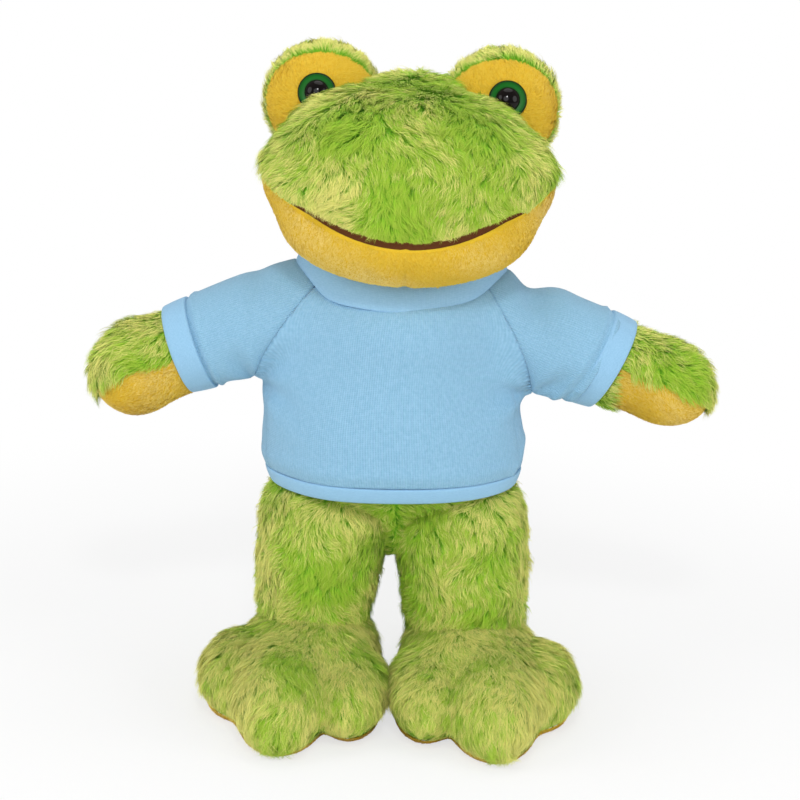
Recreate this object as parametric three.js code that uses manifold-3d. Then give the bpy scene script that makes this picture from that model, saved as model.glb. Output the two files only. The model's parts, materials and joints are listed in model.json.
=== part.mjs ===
// A plush frog that stands on two big feet and wears a knitted T-shirt.
// Lengths are in millimetres. X runs to the frog's left, -Y is the way it faces and Z is up from the floor.
// The soft parts are sewn skins over a fill: each skin is an open shell, and its fill is a solid of its own.
import * as THREE from "three";
import { mergeVertices } from "three/addons/utils/BufferGeometryUtils.js";
import Module from "manifold-3d";

const wasm = await Module();
wasm.setup();

// Gaps and cloth
const seamGap = 0.3; // between pieces that are sewn or laid together
const jointGap = 0.6; // between soft pieces that turn on each other
const neckGap = 0.4; // between the neck and the head that nods on it
const plushThick = 3; // long-pile plush, backing and packed fur together
const velourThick = 2.4; // short-pile yellow cloth
const knitThick = 1.8; // single knit of the shirt
const bandThick = 2.6; // doubled knit of the bands
const cutOverrun = 2; // how far a cutter passes the face it cuts

// Foot: a heel, then three toes, on a flat sole. x is outwards, y is backwards, both from the leg's middle.
const soleThick = 4.5;
const ankleHoleRadius = 24;
const footLobes = [
  { x: 6, y: -14, z: 24, wide: 38, deep: 57, tall: 29 },
  { x: 19, y: -61, z: 18, wide: 27, deep: 52, tall: 28 },
  { x: 42, y: -33, z: 17, wide: 25, deep: 39, tall: 22 },
  { x: -17.5, y: -53, z: 17, wide: 22, deep: 46, tall: 22 },
];

// Leg: a straight padded tube with a rounded hip that turns about X
const legSpread = 40; // from the middle of the frog to the middle of a leg
const ankleHeight = 49;
const legLong = 51; // from the ankle up to the hip's axis
const ankleSink = 9; // how far the leg's form runs down into the foot, where it is cut away
const hipWide = 34;
const hipDeep = 39;
const ankleWide = 31;
const ankleDeep = 35;
const ankleLean = 5; // how much further out than the hip the ankle stands
const hipEdgeRise = 24; // where the leg's skin ends, above the hip's axis
const hipForwardDegrees = 68; // the body is cut back so far for a leg that swings forward
const hipBackDegrees = 16;
const hipHeight = ankleHeight + legLong;

// Body, measured up from the hips' axis
const bodyHeart = { x: 0, y: 0, z: 78 };
const bodyLobes = [
  { x: 0, y: -2, z: 50, wide: 70, deep: 50, tall: 60 },
  { x: 0, y: 0, z: 94, wide: 66, deep: 43, tall: 56 },
  { x: 0, y: -3, z: 122, wide: 58, deep: 43, tall: 34 },
];
const neckRise = 150; // the neck's pivot above the hips' axis
const neckRadius = 34;
const neckSeat = 10; // the body's flat top below the neck's pivot

// Shirt
const shirtEase = 3.5; // air between the body and the shirt
const hemRise = 28; // the hem's lower edge above the hips' axis
const hemTall = 9;
const neckbandWide = 57; // half of its outer width
const neckbandDeep = 45;
const neckbandTall = 12;
const necklineRise = 139; // the neckline's middle above the hips' axis
const necklineDegrees = 8; // how much lower the neckline is in front

// Arm: x runs along the arm from the shoulder's pivot
const shoulderSpread = 81;
const shoulderRise = 116; // above the hips' axis
const armDroopDegrees = 19.7;
const shoulderRadius = 24.5;
const shoulderDeep = 30;
const sleeveRootRadius = 28.7;
const sleeveRootDeep = 34.2;
const armRootEdge = 13; // where the arm's skin and sleeve end, inwards of the pivot
const sleeveEase = 2.4;
const cuffStart = 31.5;
const cuffLong = 16;
const palmStart = 40;
const palmEdge = 5; // how far under the arm's middle the palm begins
const palmTurnDegrees = 20;
const armHeart = { x: 44, y: -4, z: 0 };
const armLobes = [
  { x: 32, y: -2, z: 0, wide: 60, deep: 24, tall: 24 },
  { x: 70, y: -8, z: -1, wide: 28, deep: 25, tall: 26 },
];

// Head, measured from the neck's pivot
const headHeart = { x: 0, y: -18, z: 52 }; // the middle that the head's form swells from
const headLobes = [
  { x: 0, y: -42, z: 56, wide: 76, deep: 50, tall: 36 },
  { x: 0, y: -46, z: 65, wide: 56, deep: 37, tall: 36 },
  { x: 0, y: -8, z: 70, wide: 37, deep: 42, tall: 38 },
  { x: 0, y: 6, z: 57, wide: 69, deep: 47, tall: 46 },
  { x: 0, y: -40, z: 31, wide: 66, deep: 45, tall: 31 },
];
const mouthWide = 62; // from the middle to a corner
const mouthRise = 28.4; // the mouth's middle above the neck's pivot
const mouthSmile = 18.5; // how much higher its corners are
const smileReachShare = 1.3; // how far the smile's curve is carried past its corners
const mouthThick = 3.6;
const chinBackEdge = 6; // the chin cloth's back seam, behind the pivot
const chinDrop = 60; // a depth below the pivot that clears the chin

// Eye bumps, measured from the neck's pivot
const bumpRadius = 30;
const bumpSpread = 49.5;
const bumpBack = 5;
const bumpRise = 92.5;
const patchFront = 4; // the yellow patch's seam in front of the bump's middle
const eyeTiltDegrees = 15;
const eyeOutDegrees = 4;
const eyeRadius = 10.5;
const eyeThick = 2.4;
const eyeFlat = 1.6; // how far the bump is pressed flat behind the eye
const pupilRadius = 6.4;
const pupilTall = 5;
const pupilSeat = 0.8; // how deep the pupil's dome is set in the iris
const stemRadius = 2;
const stemLong = 13;
const washerRadius = 6.5;
const washerThick = 1.6;

// How finely the forms are faceted
const softness = 9; // higher makes the valleys between lobes sharper
const headGrid = { columns: 20, rows: 10 };
const bodyGrid = { columns: 16, rows: 8 };
const toeGrid = { columns: 10, rows: 6 };
const armGrid = { columns: 10, rows: 7 };
const ballGrid = { columns: 14, rows: 8 };
const socketGrid = { columns: 22, rows: 12 };
const bandSides = 20;
const padSteps = 6;
const arcSteps = 3;
const smileSteps = 8;
const roundSides = 16;
const rodSides = 8;
const halvings = 40; // how often a form's edge is closed in on

const radians = THREE.MathUtils.degToRad;

// Solids

// A closed geometry as a solid that can be joined and cut.
function solid(geometry) {
  const plain = geometry.clone();
  plain.deleteAttribute("normal");
  plain.deleteAttribute("uv");
  const merged = mergeVertices(plain);
  const corners = merged.index.array;
  const kept = [];
  for (let i = 0; i < corners.length; i += 3) {
    const [a, b, c] = corners.slice(i, i + 3);
    if (a !== b && b !== c && c !== a) kept.push(a, b, c);
  }
  return new wasm.Manifold(
    new wasm.Mesh({
      numProp: 3,
      vertProperties: merged.attributes.position.array,
      triVerts: new Uint32Array(kept),
    }),
  );
}

// A solid as a geometry with flat faces.
function geometryOf(body) {
  const { numProp, numVert, vertProperties, triVerts } = body.getMesh();
  const points = new Float32Array(numVert * 3);
  for (let i = 0; i < numVert; i++) {
    points.set(vertProperties.subarray(i * numProp, i * numProp + 3), i * 3);
  }
  const geometry = new THREE.BufferGeometry();
  geometry.setAttribute("position", new THREE.BufferAttribute(points, 3));
  geometry.setIndex(new THREE.BufferAttribute(triVerts, 1));
  const faceted = geometry.toNonIndexed();
  faceted.computeVertexNormals();
  return faceted;
}

// How near the middle the flat sides of a faceted round come, as a share of its radius.
const rodFlatShare = Math.cos(Math.PI / roundSides);
const flatShare = ({ columns, rows }) => Math.cos(Math.PI / columns) * Math.cos(Math.PI / (2 * rows));

const cut = (body, ...cutters) => cutters.reduce((left, cutter) => left.subtract(cutter), body);
const above = (body, height) => body.trimByPlane([0, 0, 1], height);
const below = (body, height) => body.trimByPlane([0, 0, -1], -height);
const outward = (body, x) => body.trimByPlane([1, 0, 0], x);
const inward = (body, x) => body.trimByPlane([-1, 0, 0], -x);
const behind = (body, y) => body.trimByPlane([0, 1, 0], y);
const ahead = (body, y) => body.trimByPlane([0, -1, 0], -y);

// How far inside the joined lobes a point lies: above zero inside, below zero outside.
function depthIn(lobes, grow, point) {
  let sum = 0;
  for (const lobe of lobes) {
    const share = Math.hypot(
      (point.x - lobe.x) / (lobe.wide + grow),
      (point.y - lobe.y) / (lobe.deep + grow),
      (point.z - lobe.z) / (lobe.tall + grow),
    );
    sum += Math.exp(softness * (1 - share));
  }
  return sum - 1;
}

// A stuffed form: a ball whose every point is moved out from the heart to where the joined lobes end.
function swollen(lobes, grow, grid, heart, poles = "z") {
  const ball = new THREE.SphereGeometry(1, grid.columns, grid.rows);
  if (poles === "z") ball.rotateX(Math.PI / 2);
  if (poles === "x") ball.rotateZ(-Math.PI / 2);
  const points = ball.getAttribute("position");
  const way = new THREE.Vector3();
  const probe = new THREE.Vector3();
  const middle = new THREE.Vector3(heart.x, heart.y, heart.z);
  const reaches = lobes.map(
    ({ x, y, z, wide, deep, tall }) => Math.hypot(x, y, z) + wide + deep + tall,
  );
  const widest = Math.max(...reaches);
  for (let i = 0; i < points.count; i++) {
    way.fromBufferAttribute(points, i).normalize();
    let near = 0;
    let far = widest + middle.length();
    for (let halving = 0; halving < halvings; halving++) {
      const half = (near + far) / 2;
      if (depthIn(lobes, grow, probe.copy(middle).addScaledVector(way, half)) > 0) near = half;
      else far = half;
    }
    probe.copy(middle).addScaledVector(way, near);
    points.setXYZ(i, probe.x, probe.y, probe.z);
  }
  return ball;
}

// A round pad that turns about Y, full in the middle and rounded at its rim.
function turningPad(radius, deep) {
  const profile = [];
  for (let i = 0; i <= padSteps; i++) {
    const angle = Math.PI * (i / padSteps - 0.5);
    const across = Math.sqrt(Math.cos(angle));
    const along = Math.sign(Math.sin(angle)) * Math.sqrt(Math.abs(Math.sin(angle)));
    profile.push(new THREE.Vector2(i % padSteps ? radius * across : 0, deep * along));
  }
  return new THREE.LatheGeometry(profile, roundSides);
}

// The same closed form seen in a mirror across X.
function mirrored(geometry) {
  const form = geometry.toNonIndexed().scale(-1, 1, 1);
  const points = form.getAttribute("position");
  const [second, third] = [new THREE.Vector3(), new THREE.Vector3()];
  for (let i = 0; i < points.count; i += 3) {
    second.fromBufferAttribute(points, i + 1);
    third.fromBufferAttribute(points, i + 2);
    points.setXYZ(i + 1, third.x, third.y, third.z);
    points.setXYZ(i + 2, second.x, second.y, second.z);
  }
  return form;
}

function rod(radius, long, sides = rodSides) {
  return new THREE.CylinderGeometry(radius, radius, long, sides);
}

// Colours
const longPlush = { color: 0x8fae42, roughness: 0.95 };
const yellowVelour = { color: 0xe2bd52, roughness: 0.9 };
const brownFelt = { color: 0x6b4226, roughness: 0.95 };
const blueKnit = { color: 0x93c2e0, roughness: 0.85 };
const blueRib = { color: 0x99c6ec, roughness: 0.85 };
const fillFibre = { color: 0xf2f0ea, roughness: 1 };
const greenPlastic = { color: 0x1f6b23, roughness: 0.25 };
const blackPlastic = { color: 0x08080a, roughness: 0.08 };
const whitePlastic = { color: 0xe4e4df, roughness: 0.5 };

function piece(name, body, colours) {
  const material = new THREE.MeshStandardMaterial({ ...colours, metalness: 0 });
  const mesh = new THREE.Mesh(geometryOf(body), material);
  mesh.name = name;
  return mesh;
}

// Foot and leg, in the leg's frame: the hip's pivot is its origin
function footForm(grow) {
  const lobes = footLobes.map(({ x, y, z, wide, deep, tall }) =>
    solid(
      new THREE.SphereGeometry(1, toeGrid.columns, toeGrid.rows)
        .rotateZ(Math.PI / 2)
        .rotateY(Math.PI / 2)
        .rotateX(Math.PI / 2)
        .scale(wide + grow, deep + grow, tall + grow)
        .translate(x, y, z - hipHeight),
    ),
  );
  return lobes.reduce((joined, lobe) => joined.add(lobe));
}

// The leg's outline turned about Z, then flattened from a circle to an oval.
function legForm(grow) {
  const profile = [
    new THREE.Vector2(0, -legLong - ankleSink),
    new THREE.Vector2(ankleWide + grow, -legLong - ankleSink),
  ];
  for (let i = 0; i <= arcSteps; i++) {
    const angle = (Math.PI / 2) * (i / arcSteps);
    const across = i < arcSteps ? Math.cos(angle) * (hipWide + grow) : 0;
    profile.push(new THREE.Vector2(across, Math.sin(angle) * (hipDeep + grow)));
  }
  const form = new THREE.LatheGeometry(profile, ballGrid.columns).rotateX(Math.PI / 2);
  const points = form.getAttribute("position");
  for (let i = 0; i < points.count; i++) {
    const fall = Math.max(0, -points.getZ(i) / legLong);
    const down = Math.min(1, fall);
    points.setX(i, points.getX(i) + ankleLean * fall);
    const hipOval = (hipDeep + grow) / (hipWide + grow);
    const ankleOval = (ankleDeep + grow) / (ankleWide + grow);
    points.setY(i, points.getY(i) * THREE.MathUtils.lerp(hipOval, ankleOval, down));
  }
  return form;
}

function legPieces() {
  const floor = -hipHeight;
  const foot = footForm(0);
  const footInside = footForm(-plushThick);
  const midline = -legSpread + seamGap / 2;
  const ankleHole = solid(
    rod(ankleHoleRadius, ankleHeight, roundSides)
      .rotateX(Math.PI / 2)
      .translate(ankleLean, 0, floor + ankleHeight),
  );
  const trimmed = (body) => outward(body, midline);
  const sole = trimmed(below(above(foot, floor), floor + soleThick));
  const footSkin = trimmed(cut(above(foot, floor + soleThick + seamGap), footInside, ankleHole));
  const fillInFoot = footForm(-plushThick - seamGap);
  const footFill = outward(above(fillInFoot, floor + soleThick + seamGap), midline + plushThick);

  const leg = solid(legForm(0));
  const legInside = solid(legForm(-plushThick));
  const footCutter = footForm(seamGap);
  const fillCutter = footForm(-plushThick + seamGap);
  const legSkin = cut(below(leg, hipEdgeRise), legInside, footCutter);
  const column = below(solid(legForm(-plushThick - seamGap)), hipEdgeRise + cutOverrun);
  const hip = above(leg, hipEdgeRise + seamGap);
  const overSkin = footCutter.subtract(
    solid(
      rod(ankleHoleRadius - seamGap, ankleHeight, roundSides)
        .rotateX(Math.PI / 2)
        .translate(ankleLean, 0, floor + ankleHeight),
    ),
  );
  const legFill = cut(column.add(hip), overSkin, fillCutter);
  return { sole, footSkin, footFill, legSkin, legFill };
}

// What a swinging leg passes through, seen from the side: the round hip and the wedge below it.
function hipSweep() {
  const reach = hipDeep + jointGap;
  const long = hipHeight;
  const tangent = (degrees, side) => {
    const angle = radians(degrees);
    const start = new THREE.Vector2(-side * Math.cos(angle), Math.sin(angle)).multiplyScalar(reach);
    const way = new THREE.Vector2(-side * Math.sin(angle), -Math.cos(angle));
    return [start, start.clone().addScaledVector(way, long)];
  };
  const [frontTop, frontFar] = tangent(hipForwardDegrees, 1);
  const [backTop, backFar] = tangent(hipBackDegrees, -1);
  const outline = new THREE.Shape([new THREE.Vector2(0, 0), frontTop, frontFar, backFar, backTop].reverse());
  const wide = 2 * (hipWide + jointGap);
  const wedge = new THREE.ExtrudeGeometry(outline, { depth: wide, bevelEnabled: false })
    .rotateX(Math.PI / 2)
    .rotateZ(Math.PI / 2)
    .translate(-wide / 2, 0, 0);
  const ball = new THREE.SphereGeometry(1 / flatShare(ballGrid), ballGrid.columns, ballGrid.rows)
    .rotateZ(Math.PI / 2)
    .scale(hipWide + jointGap, reach, reach);
  return solid(wedge).add(solid(ball));
}

// Arm, sleeve and cuff, in the arm's frame: the shoulder's pivot is its origin
function armForm(grow) {
  return swollen(armLobes, grow, armGrid, armHeart, "x");
}

function armPieces() {
  const outer = solid(armForm(0)).add(solid(turningPad(shoulderRadius, shoulderDeep)));
  const inner = solid(armForm(-plushThick)).add(
    solid(turningPad(shoulderRadius - plushThick, shoulderDeep - plushThick)),
  );
  const shell = outward(cut(outer, inner), -armRootEdge);
  const turn = radians(palmTurnDegrees);
  const palmWay = [0, Math.sin(turn), -Math.cos(turn)];
  const palmSide = (body, gap) => outward(body.trimByPlane(palmWay, palmEdge - gap), palmStart - gap);
  const palm = palmSide(shell, 0);
  const skin = cut(shell, palmSide(solid(armForm(cutOverrun)), seamGap));
  const root = inward(solid(turningPad(sleeveRootRadius, sleeveRootDeep)), -armRootEdge - seamGap);
  const fill = solid(armForm(-plushThick - seamGap))
    .add(solid(turningPad(shoulderRadius - plushThick - seamGap, shoulderDeep - plushThick - seamGap)))
    .add(root);

  const rootPad = solid(turningPad(sleeveRootRadius, sleeveRootDeep));
  const rootInside = solid(turningPad(sleeveRootRadius - knitThick, sleeveRootDeep - knitThick));
  const sleeveOuter = rootPad.add(solid(armForm(sleeveEase + knitThick)));
  const sleeveInner = rootInside.add(solid(armForm(sleeveEase)));
  const sleeve = inward(outward(cut(sleeveOuter, sleeveInner), -armRootEdge), cuffStart - seamGap);
  const cuffShell = cut(solid(armForm(sleeveEase + bandThick)), solid(armForm(sleeveEase)));
  const cuff = inward(outward(cuffShell, cuffStart), cuffStart + cuffLong);
  return { skin, palm, fill, sleeve, cuff };
}

// Body, neck and shirt, in the hips' frame
function bodyForm(grow) {
  return swollen(bodyLobes, grow, bodyGrid, bodyHeart);
}

const bodyTop = neckRise - neckSeat;

// The holes that the arms turn in, one on each side.
function shoulderHoles() {
  const long = 2 * (sleeveRootDeep + neckbandDeep);
  const radius = (sleeveRootRadius + jointGap) / rodFlatShare;
  return [1, -1].map((side) =>
    solid(rod(radius, long, roundSides).translate(side * shoulderSpread, 0, shoulderRise)),
  );
}

function bodyPieces() {
  const sweep = hipSweep();
  const hipHoles = [1, -1].map((side) => {
    const place = new THREE.Matrix4().makeTranslation(side * legSpread, 0, 0);
    return solid(geometryOf(sweep).applyMatrix4(place));
  });
  const holes = [...hipHoles, ...shoulderHoles()];
  const outer = solid(bodyForm(0));
  const inner = solid(bodyForm(-plushThick));
  const skin = cut(below(outer, bodyTop), inner, ...holes);
  const fill = cut(below(solid(bodyForm(-plushThick - seamGap)), bodyTop), ...holes);
  return { skin, fill };
}

function neckPieces() {
  const ball = (radius) =>
    solid(new THREE.SphereGeometry(radius, ballGrid.columns, ballGrid.rows).rotateX(Math.PI / 2));
  const seat = -neckSeat + jointGap;
  const skin = above(cut(ball(neckRadius), ball(neckRadius - velourThick)), seat);
  const fill = above(ball(neckRadius - velourThick - seamGap), seat);
  return { skin, fill };
}

function shirtPieces() {
  const tilt = radians(necklineDegrees);
  const neckline = [0, Math.sin(tilt), -Math.cos(tilt)];
  const underNeckline = (body, drop) => body.trimByPlane(neckline, (drop - necklineRise) * Math.cos(tilt));
  const shell = cut(solid(bodyForm(shirtEase + knitThick)), solid(bodyForm(shirtEase)));
  const hemTop = hemRise + hemTall;
  const tube = cut(underNeckline(above(shell, hemTop + seamGap), seamGap), ...shoulderHoles());
  const front = ahead(tube, -seamGap / 2);
  const back = behind(tube, seamGap / 2);
  const hemShell = cut(solid(bodyForm(shirtEase + bandThick)), solid(bodyForm(shirtEase)));
  const hem = below(above(hemShell, hemRise), hemTop);
  const corner = bandThick / 3;
  const outline = [
    [-bandThick, corner],
    [-bandThick + corner, 0],
    [-corner, 0],
    [0, corner],
    [0, neckbandTall - corner],
    [-corner, neckbandTall],
    [-bandThick + corner, neckbandTall],
    [-bandThick, neckbandTall - corner],
    [-bandThick, corner],
  ].map(([out, up]) => new THREE.Vector2(neckbandWide + out, up));
  const ring = new THREE.LatheGeometry(outline, bandSides)
    .rotateX(Math.PI / 2)
    .scale(1, neckbandDeep / neckbandWide, 1)
    .rotateX(tilt)
    .translate(0, 0, necklineRise);
  return { front, back, hem, neckband: solid(ring) };
}

// Head, in the neck's frame: the neck's pivot is its origin
function headForm(grow) {
  return swollen(headLobes, grow, headGrid, headHeart);
}

// What lies under the mouth's smile, from the front of the head to the chin cloth's back seam.
function underMouth(lift, thick) {
  const halfWide = Math.max(...headLobes.map((lobe) => lobe.wide)) + chinDrop;
  const outline = [new THREE.Vector2(-halfWide, -chinDrop), new THREE.Vector2(halfWide, -chinDrop)];
  for (let i = 0; i <= smileSteps; i++) {
    const x = mouthWide * smileReachShare * (1 - (2 * i) / smileSteps);
    const share = (x / mouthWide) ** 2;
    const line = mouthRise + mouthSmile * share;
    outline.push(new THREE.Vector2(x, line + lift + thick * Math.max(0, 1 - share)));
  }
  outline.splice(2, 0, new THREE.Vector2(halfWide, outline[2].y));
  outline.push(new THREE.Vector2(-halfWide, outline.at(-1).y));
  const deep = 3 * chinDrop;
  const shape = new THREE.Shape(outline);
  return new THREE.ExtrudeGeometry(shape, { depth: deep, bevelEnabled: false }).rotateX(Math.PI / 2);
}

function headPieces() {
  const socketRadius = (neckRadius + neckGap) / flatShare(socketGrid);
  const socket = solid(
    new THREE.SphereGeometry(socketRadius, socketGrid.columns, socketGrid.rows).rotateX(Math.PI / 2),
  );
  const outer = solid(headForm(0));
  const inner = solid(headForm(-plushThick));
  const region = (lift, thick, back) => solid(underMouth(lift, thick).translate(0, back, 0));
  const shell = cut(outer, inner, socket);
  const chin = shell.intersect(region(0, 0, chinBackEdge));
  const strip = shell.intersect(region(0, mouthThick, 0)).subtract(region(seamGap, 0, chinBackEdge));
  const lining = ahead(inward(outward(strip, -mouthWide), mouthWide), 0);
  const skin = cut(shell, region(seamGap, mouthThick, 0), region(seamGap, 0, chinBackEdge + seamGap));
  const fill = cut(solid(headForm(-plushThick - seamGap)), socket);
  return { skin, chin, lining, fill };
}

// One eye bump with its plastic eye, in a frame at the bump's middle.
function bumpPieces(sign) {
  const headSide = sign > 0 ? headForm(seamGap) : mirrored(headForm(seamGap));
  const head = solid(headSide.translate(-bumpSpread, -bumpBack, -bumpRise));
  const look = new THREE.Euler(-radians(eyeTiltDegrees), 0, radians(eyeOutDegrees), "ZXY");
  const way = new THREE.Vector3(0, -1, 0).applyEuler(look).toArray();
  const pressed = (body, level) => body.trimByPlane(way.map((part) => -part), -level);
  const ball = (radius) =>
    solid(new THREE.SphereGeometry(radius, ballGrid.columns, ballGrid.rows).rotateX(Math.PI / 2));
  const flat = bumpRadius - eyeFlat;
  const outer = pressed(ball(bumpRadius), flat);
  const inner = pressed(ball(bumpRadius - velourThick), flat - velourThick);
  const turned = new THREE.Matrix4().makeRotationFromEuler(look);
  const place = (geometry, out) => solid(geometry.translate(0, -out, 0).applyMatrix4(turned));

  const eyeBack = flat + seamGap;
  const stemMiddle = eyeBack - stemLong / 2 + seamGap;
  const iris = place(rod(eyeRadius, eyeThick, roundSides), eyeBack + eyeThick / 2).add(
    place(rod(stemRadius, stemLong), stemMiddle),
  );
  const domeProfile = [new THREE.Vector2(0, 0)];
  for (let i = 0; i <= arcSteps; i++) {
    const angle = (Math.PI / 2) * (i / arcSteps);
    const across = i < arcSteps ? pupilRadius * Math.cos(angle) : 0;
    domeProfile.push(new THREE.Vector2(across, pupilTall * Math.sin(angle)));
  }
  const dome = (grow) => {
    const profile = domeProfile.map(({ x, y }, i) => new THREE.Vector2(x ? x + grow : 0, i > 1 ? y : -grow));
    return new THREE.LatheGeometry(profile, roundSides).rotateX(Math.PI);
  };
  const pupilBack = eyeBack + eyeThick - pupilSeat;
  const pupil = place(dome(0), pupilBack);
  const irisRing = cut(iris, place(dome(seamGap), pupilBack));

  const washerMiddle = flat - velourThick - 2 * seamGap - washerThick / 2;
  const washer = cut(
    place(rod(washerRadius, washerThick, roundSides), washerMiddle),
    place(rod(stemRadius + seamGap, stemLong), stemMiddle),
  );
  const washerRoom = place(
    rod(washerRadius + seamGap, washerThick + 2 * seamGap, roundSides),
    washerMiddle,
  );
  const stemRoom = place(rod(stemRadius + seamGap, stemLong + 2 * seamGap), stemMiddle);

  const shell = cut(outer, inner, head, stemRoom);
  const patch = ahead(shell, -patchFront - seamGap / 2);
  const bump = behind(shell, -patchFront + seamGap / 2);
  const fillBall = pressed(ball(bumpRadius - velourThick - seamGap), flat - velourThick - seamGap);
  const fill = cut(fillBall, head, washerRoom, stemRoom);
  return { bump, patch, fill, iris: irisRing, pupil, washer };
}

// Assembly
const frog = new THREE.Group();

const legSet = legPieces();
const armSet = armPieces();
const body = bodyPieces();
const shirt = shirtPieces();
const neck = neckPieces();
const head = headPieces();

const torso = new THREE.Group();
torso.position.set(0, 0, hipHeight);
torso.add(
  piece("body_skin", body.skin, longPlush),
  piece("body_filling", body.fill, fillFibre),
  piece("shirt_front", shirt.front, blueKnit),
  piece("shirt_back", shirt.back, blueKnit),
  piece("shirt_hem_band", shirt.hem, blueRib),
  piece("shirt_neckband", shirt.neckband, blueRib),
);
frog.add(torso);

const headGroup = new THREE.Group();
headGroup.position.set(0, 0, hipHeight + neckRise);
headGroup.add(
  piece("neck_skin", neck.skin, yellowVelour),
  piece("neck_filling", neck.fill, fillFibre),
  piece("head_skin", head.skin, longPlush),
  piece("chin_panel", head.chin, yellowVelour),
  piece("mouth_lining", head.lining, brownFelt),
  piece("head_filling", head.fill, fillFibre),
);
frog.add(headGroup);

for (const [side, sign] of [["left", 1], ["right", -1]]) {
  const half = new THREE.Group();
  half.scale.x = sign;

  const leg = new THREE.Group();
  leg.position.set(legSpread, 0, hipHeight);
  leg.add(
    piece(`leg_skin_${side}`, legSet.legSkin, longPlush),
    piece(`leg_filling_${side}`, legSet.legFill, fillFibre),
    piece(`foot_skin_${side}`, legSet.footSkin, longPlush),
    piece(`foot_filling_${side}`, legSet.footFill, fillFibre),
    piece(`foot_sole_${side}`, legSet.sole, yellowVelour),
  );

  const arm = new THREE.Group();
  arm.position.set(shoulderSpread, 0, hipHeight + shoulderRise);
  arm.rotation.y = radians(armDroopDegrees);
  arm.add(
    piece(`arm_skin_${side}`, armSet.skin, longPlush),
    piece(`arm_palm_${side}`, armSet.palm, yellowVelour),
    piece(`arm_filling_${side}`, armSet.fill, fillFibre),
    piece(`shirt_sleeve_${side}`, armSet.sleeve, blueKnit),
    piece(`shirt_cuff_${side}`, armSet.cuff, blueRib),
  );

  const bumpSet = bumpPieces(sign);
  const bump = new THREE.Group();
  bump.position.set(bumpSpread, bumpBack, hipHeight + neckRise + bumpRise);
  bump.add(
    piece(`eye_bump_${side}`, bumpSet.bump, longPlush),
    piece(`eye_patch_${side}`, bumpSet.patch, yellowVelour),
    piece(`eye_bump_filling_${side}`, bumpSet.fill, fillFibre),
    piece(`eye_iris_${side}`, bumpSet.iris, greenPlastic),
    piece(`eye_pupil_${side}`, bumpSet.pupil, blackPlastic),
    piece(`eye_washer_${side}`, bumpSet.washer, whitePlastic),
  );

  half.add(leg, arm, bump);
  frog.add(half);
}

// The origin is on the floor under the middle of the frog's box.
frog.updateMatrixWorld(true);
const box = new THREE.Box3().setFromObject(frog, true);
frog.position.y = -(box.min.y + box.max.y) / 2;
frog.position.z = -box.min.z;

export default frog;
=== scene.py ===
import json
import math
from collections import namedtuple

import bmesh
import bpy
import numpy as np
from mathutils import Matrix, Vector
from mathutils.kdtree import KDTree


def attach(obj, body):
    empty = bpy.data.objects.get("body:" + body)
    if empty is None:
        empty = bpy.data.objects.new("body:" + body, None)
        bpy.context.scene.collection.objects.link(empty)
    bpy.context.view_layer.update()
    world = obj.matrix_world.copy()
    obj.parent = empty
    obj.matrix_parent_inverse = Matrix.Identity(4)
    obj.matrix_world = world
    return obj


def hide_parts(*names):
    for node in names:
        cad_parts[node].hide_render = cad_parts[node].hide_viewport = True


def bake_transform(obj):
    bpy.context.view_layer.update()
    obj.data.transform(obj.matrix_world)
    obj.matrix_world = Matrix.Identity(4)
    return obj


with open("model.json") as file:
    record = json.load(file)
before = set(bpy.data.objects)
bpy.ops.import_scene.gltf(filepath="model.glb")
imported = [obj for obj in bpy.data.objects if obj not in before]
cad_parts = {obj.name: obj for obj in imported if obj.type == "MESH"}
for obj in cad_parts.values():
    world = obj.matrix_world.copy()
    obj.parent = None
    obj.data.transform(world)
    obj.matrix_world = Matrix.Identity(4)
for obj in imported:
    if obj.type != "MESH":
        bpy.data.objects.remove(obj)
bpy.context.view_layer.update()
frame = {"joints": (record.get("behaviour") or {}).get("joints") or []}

pivots = {joint["name"]: np.array(joint["pos_m"]) for joint in frame["joints"]}

# Studio: a pale floor that keeps a soft shadow and fades to white, white all around for the camera, and large
# soft lamps. The camera stands a little above the frog and far off, with a long lens, as in the photograph.
BODY_DEPTH = pivots["head_nod"][1]
CAMERA_AIM = (0.0, BODY_DEPTH, 0.174)
CAMERA_DISTANCE = 1.15
CAMERA_RISE, CAMERA_ROLL = math.radians(15), math.radians(2.3)
LENS, SENSOR = 90.3, 36.0
LAMP_AIM = (0.0, BODY_DEPTH, 0.2)
LAMPS = (  # name, place, width in metres, watts
    ("lamp_front", (-0.25, -1.6, 0.95), 1.1, 7.5),
    ("lamp_left", (-1.5, -0.7, 0.9), 1.2, 9.0),
    ("lamp_right", (1.5, -0.8, 0.8), 1.2, 9.0),
    ("lamp_top", (0.1, 0.2, 1.7), 1.3, 7.0),
    ("lamp_catchlight", (0.02, -1.03, 1.08), 0.17, 4.5),
)
ROOM_GLOW = 0.36
FLOOR_HALF = 3.0
FLOOR_SHADE = (0.92, 0.94)
FLOOR_FADE = (0.22, 0.60)  # how far from the frog's middle the floor starts to fade, and where it is white
FLOOR_WHITE = 0.68  # how white the camera sees it next to the frog


def wire(tree, node, inputs):
    """Sets a shader node's inputs to values, or joins them to other nodes' outputs."""
    for socket, value in inputs.items():
        if isinstance(value, bpy.types.NodeSocket):
            tree.links.new(value, node.inputs[socket])
        else:
            node.inputs[socket].default_value = value


def put(tree, kind, inputs=None, **settings):
    """A new shader node with its settings and inputs."""
    node = tree.nodes.new("ShaderNode" + kind)
    for setting, value in settings.items():
        setattr(node, setting, value)
    wire(tree, node, inputs or {})
    return node


def worked_out(tree, operation, *values):
    """The result of a sum, product or like operation on numbers and outputs."""
    return put(tree, "Math", dict(enumerate(values)), operation=operation).outputs[0]


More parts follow.
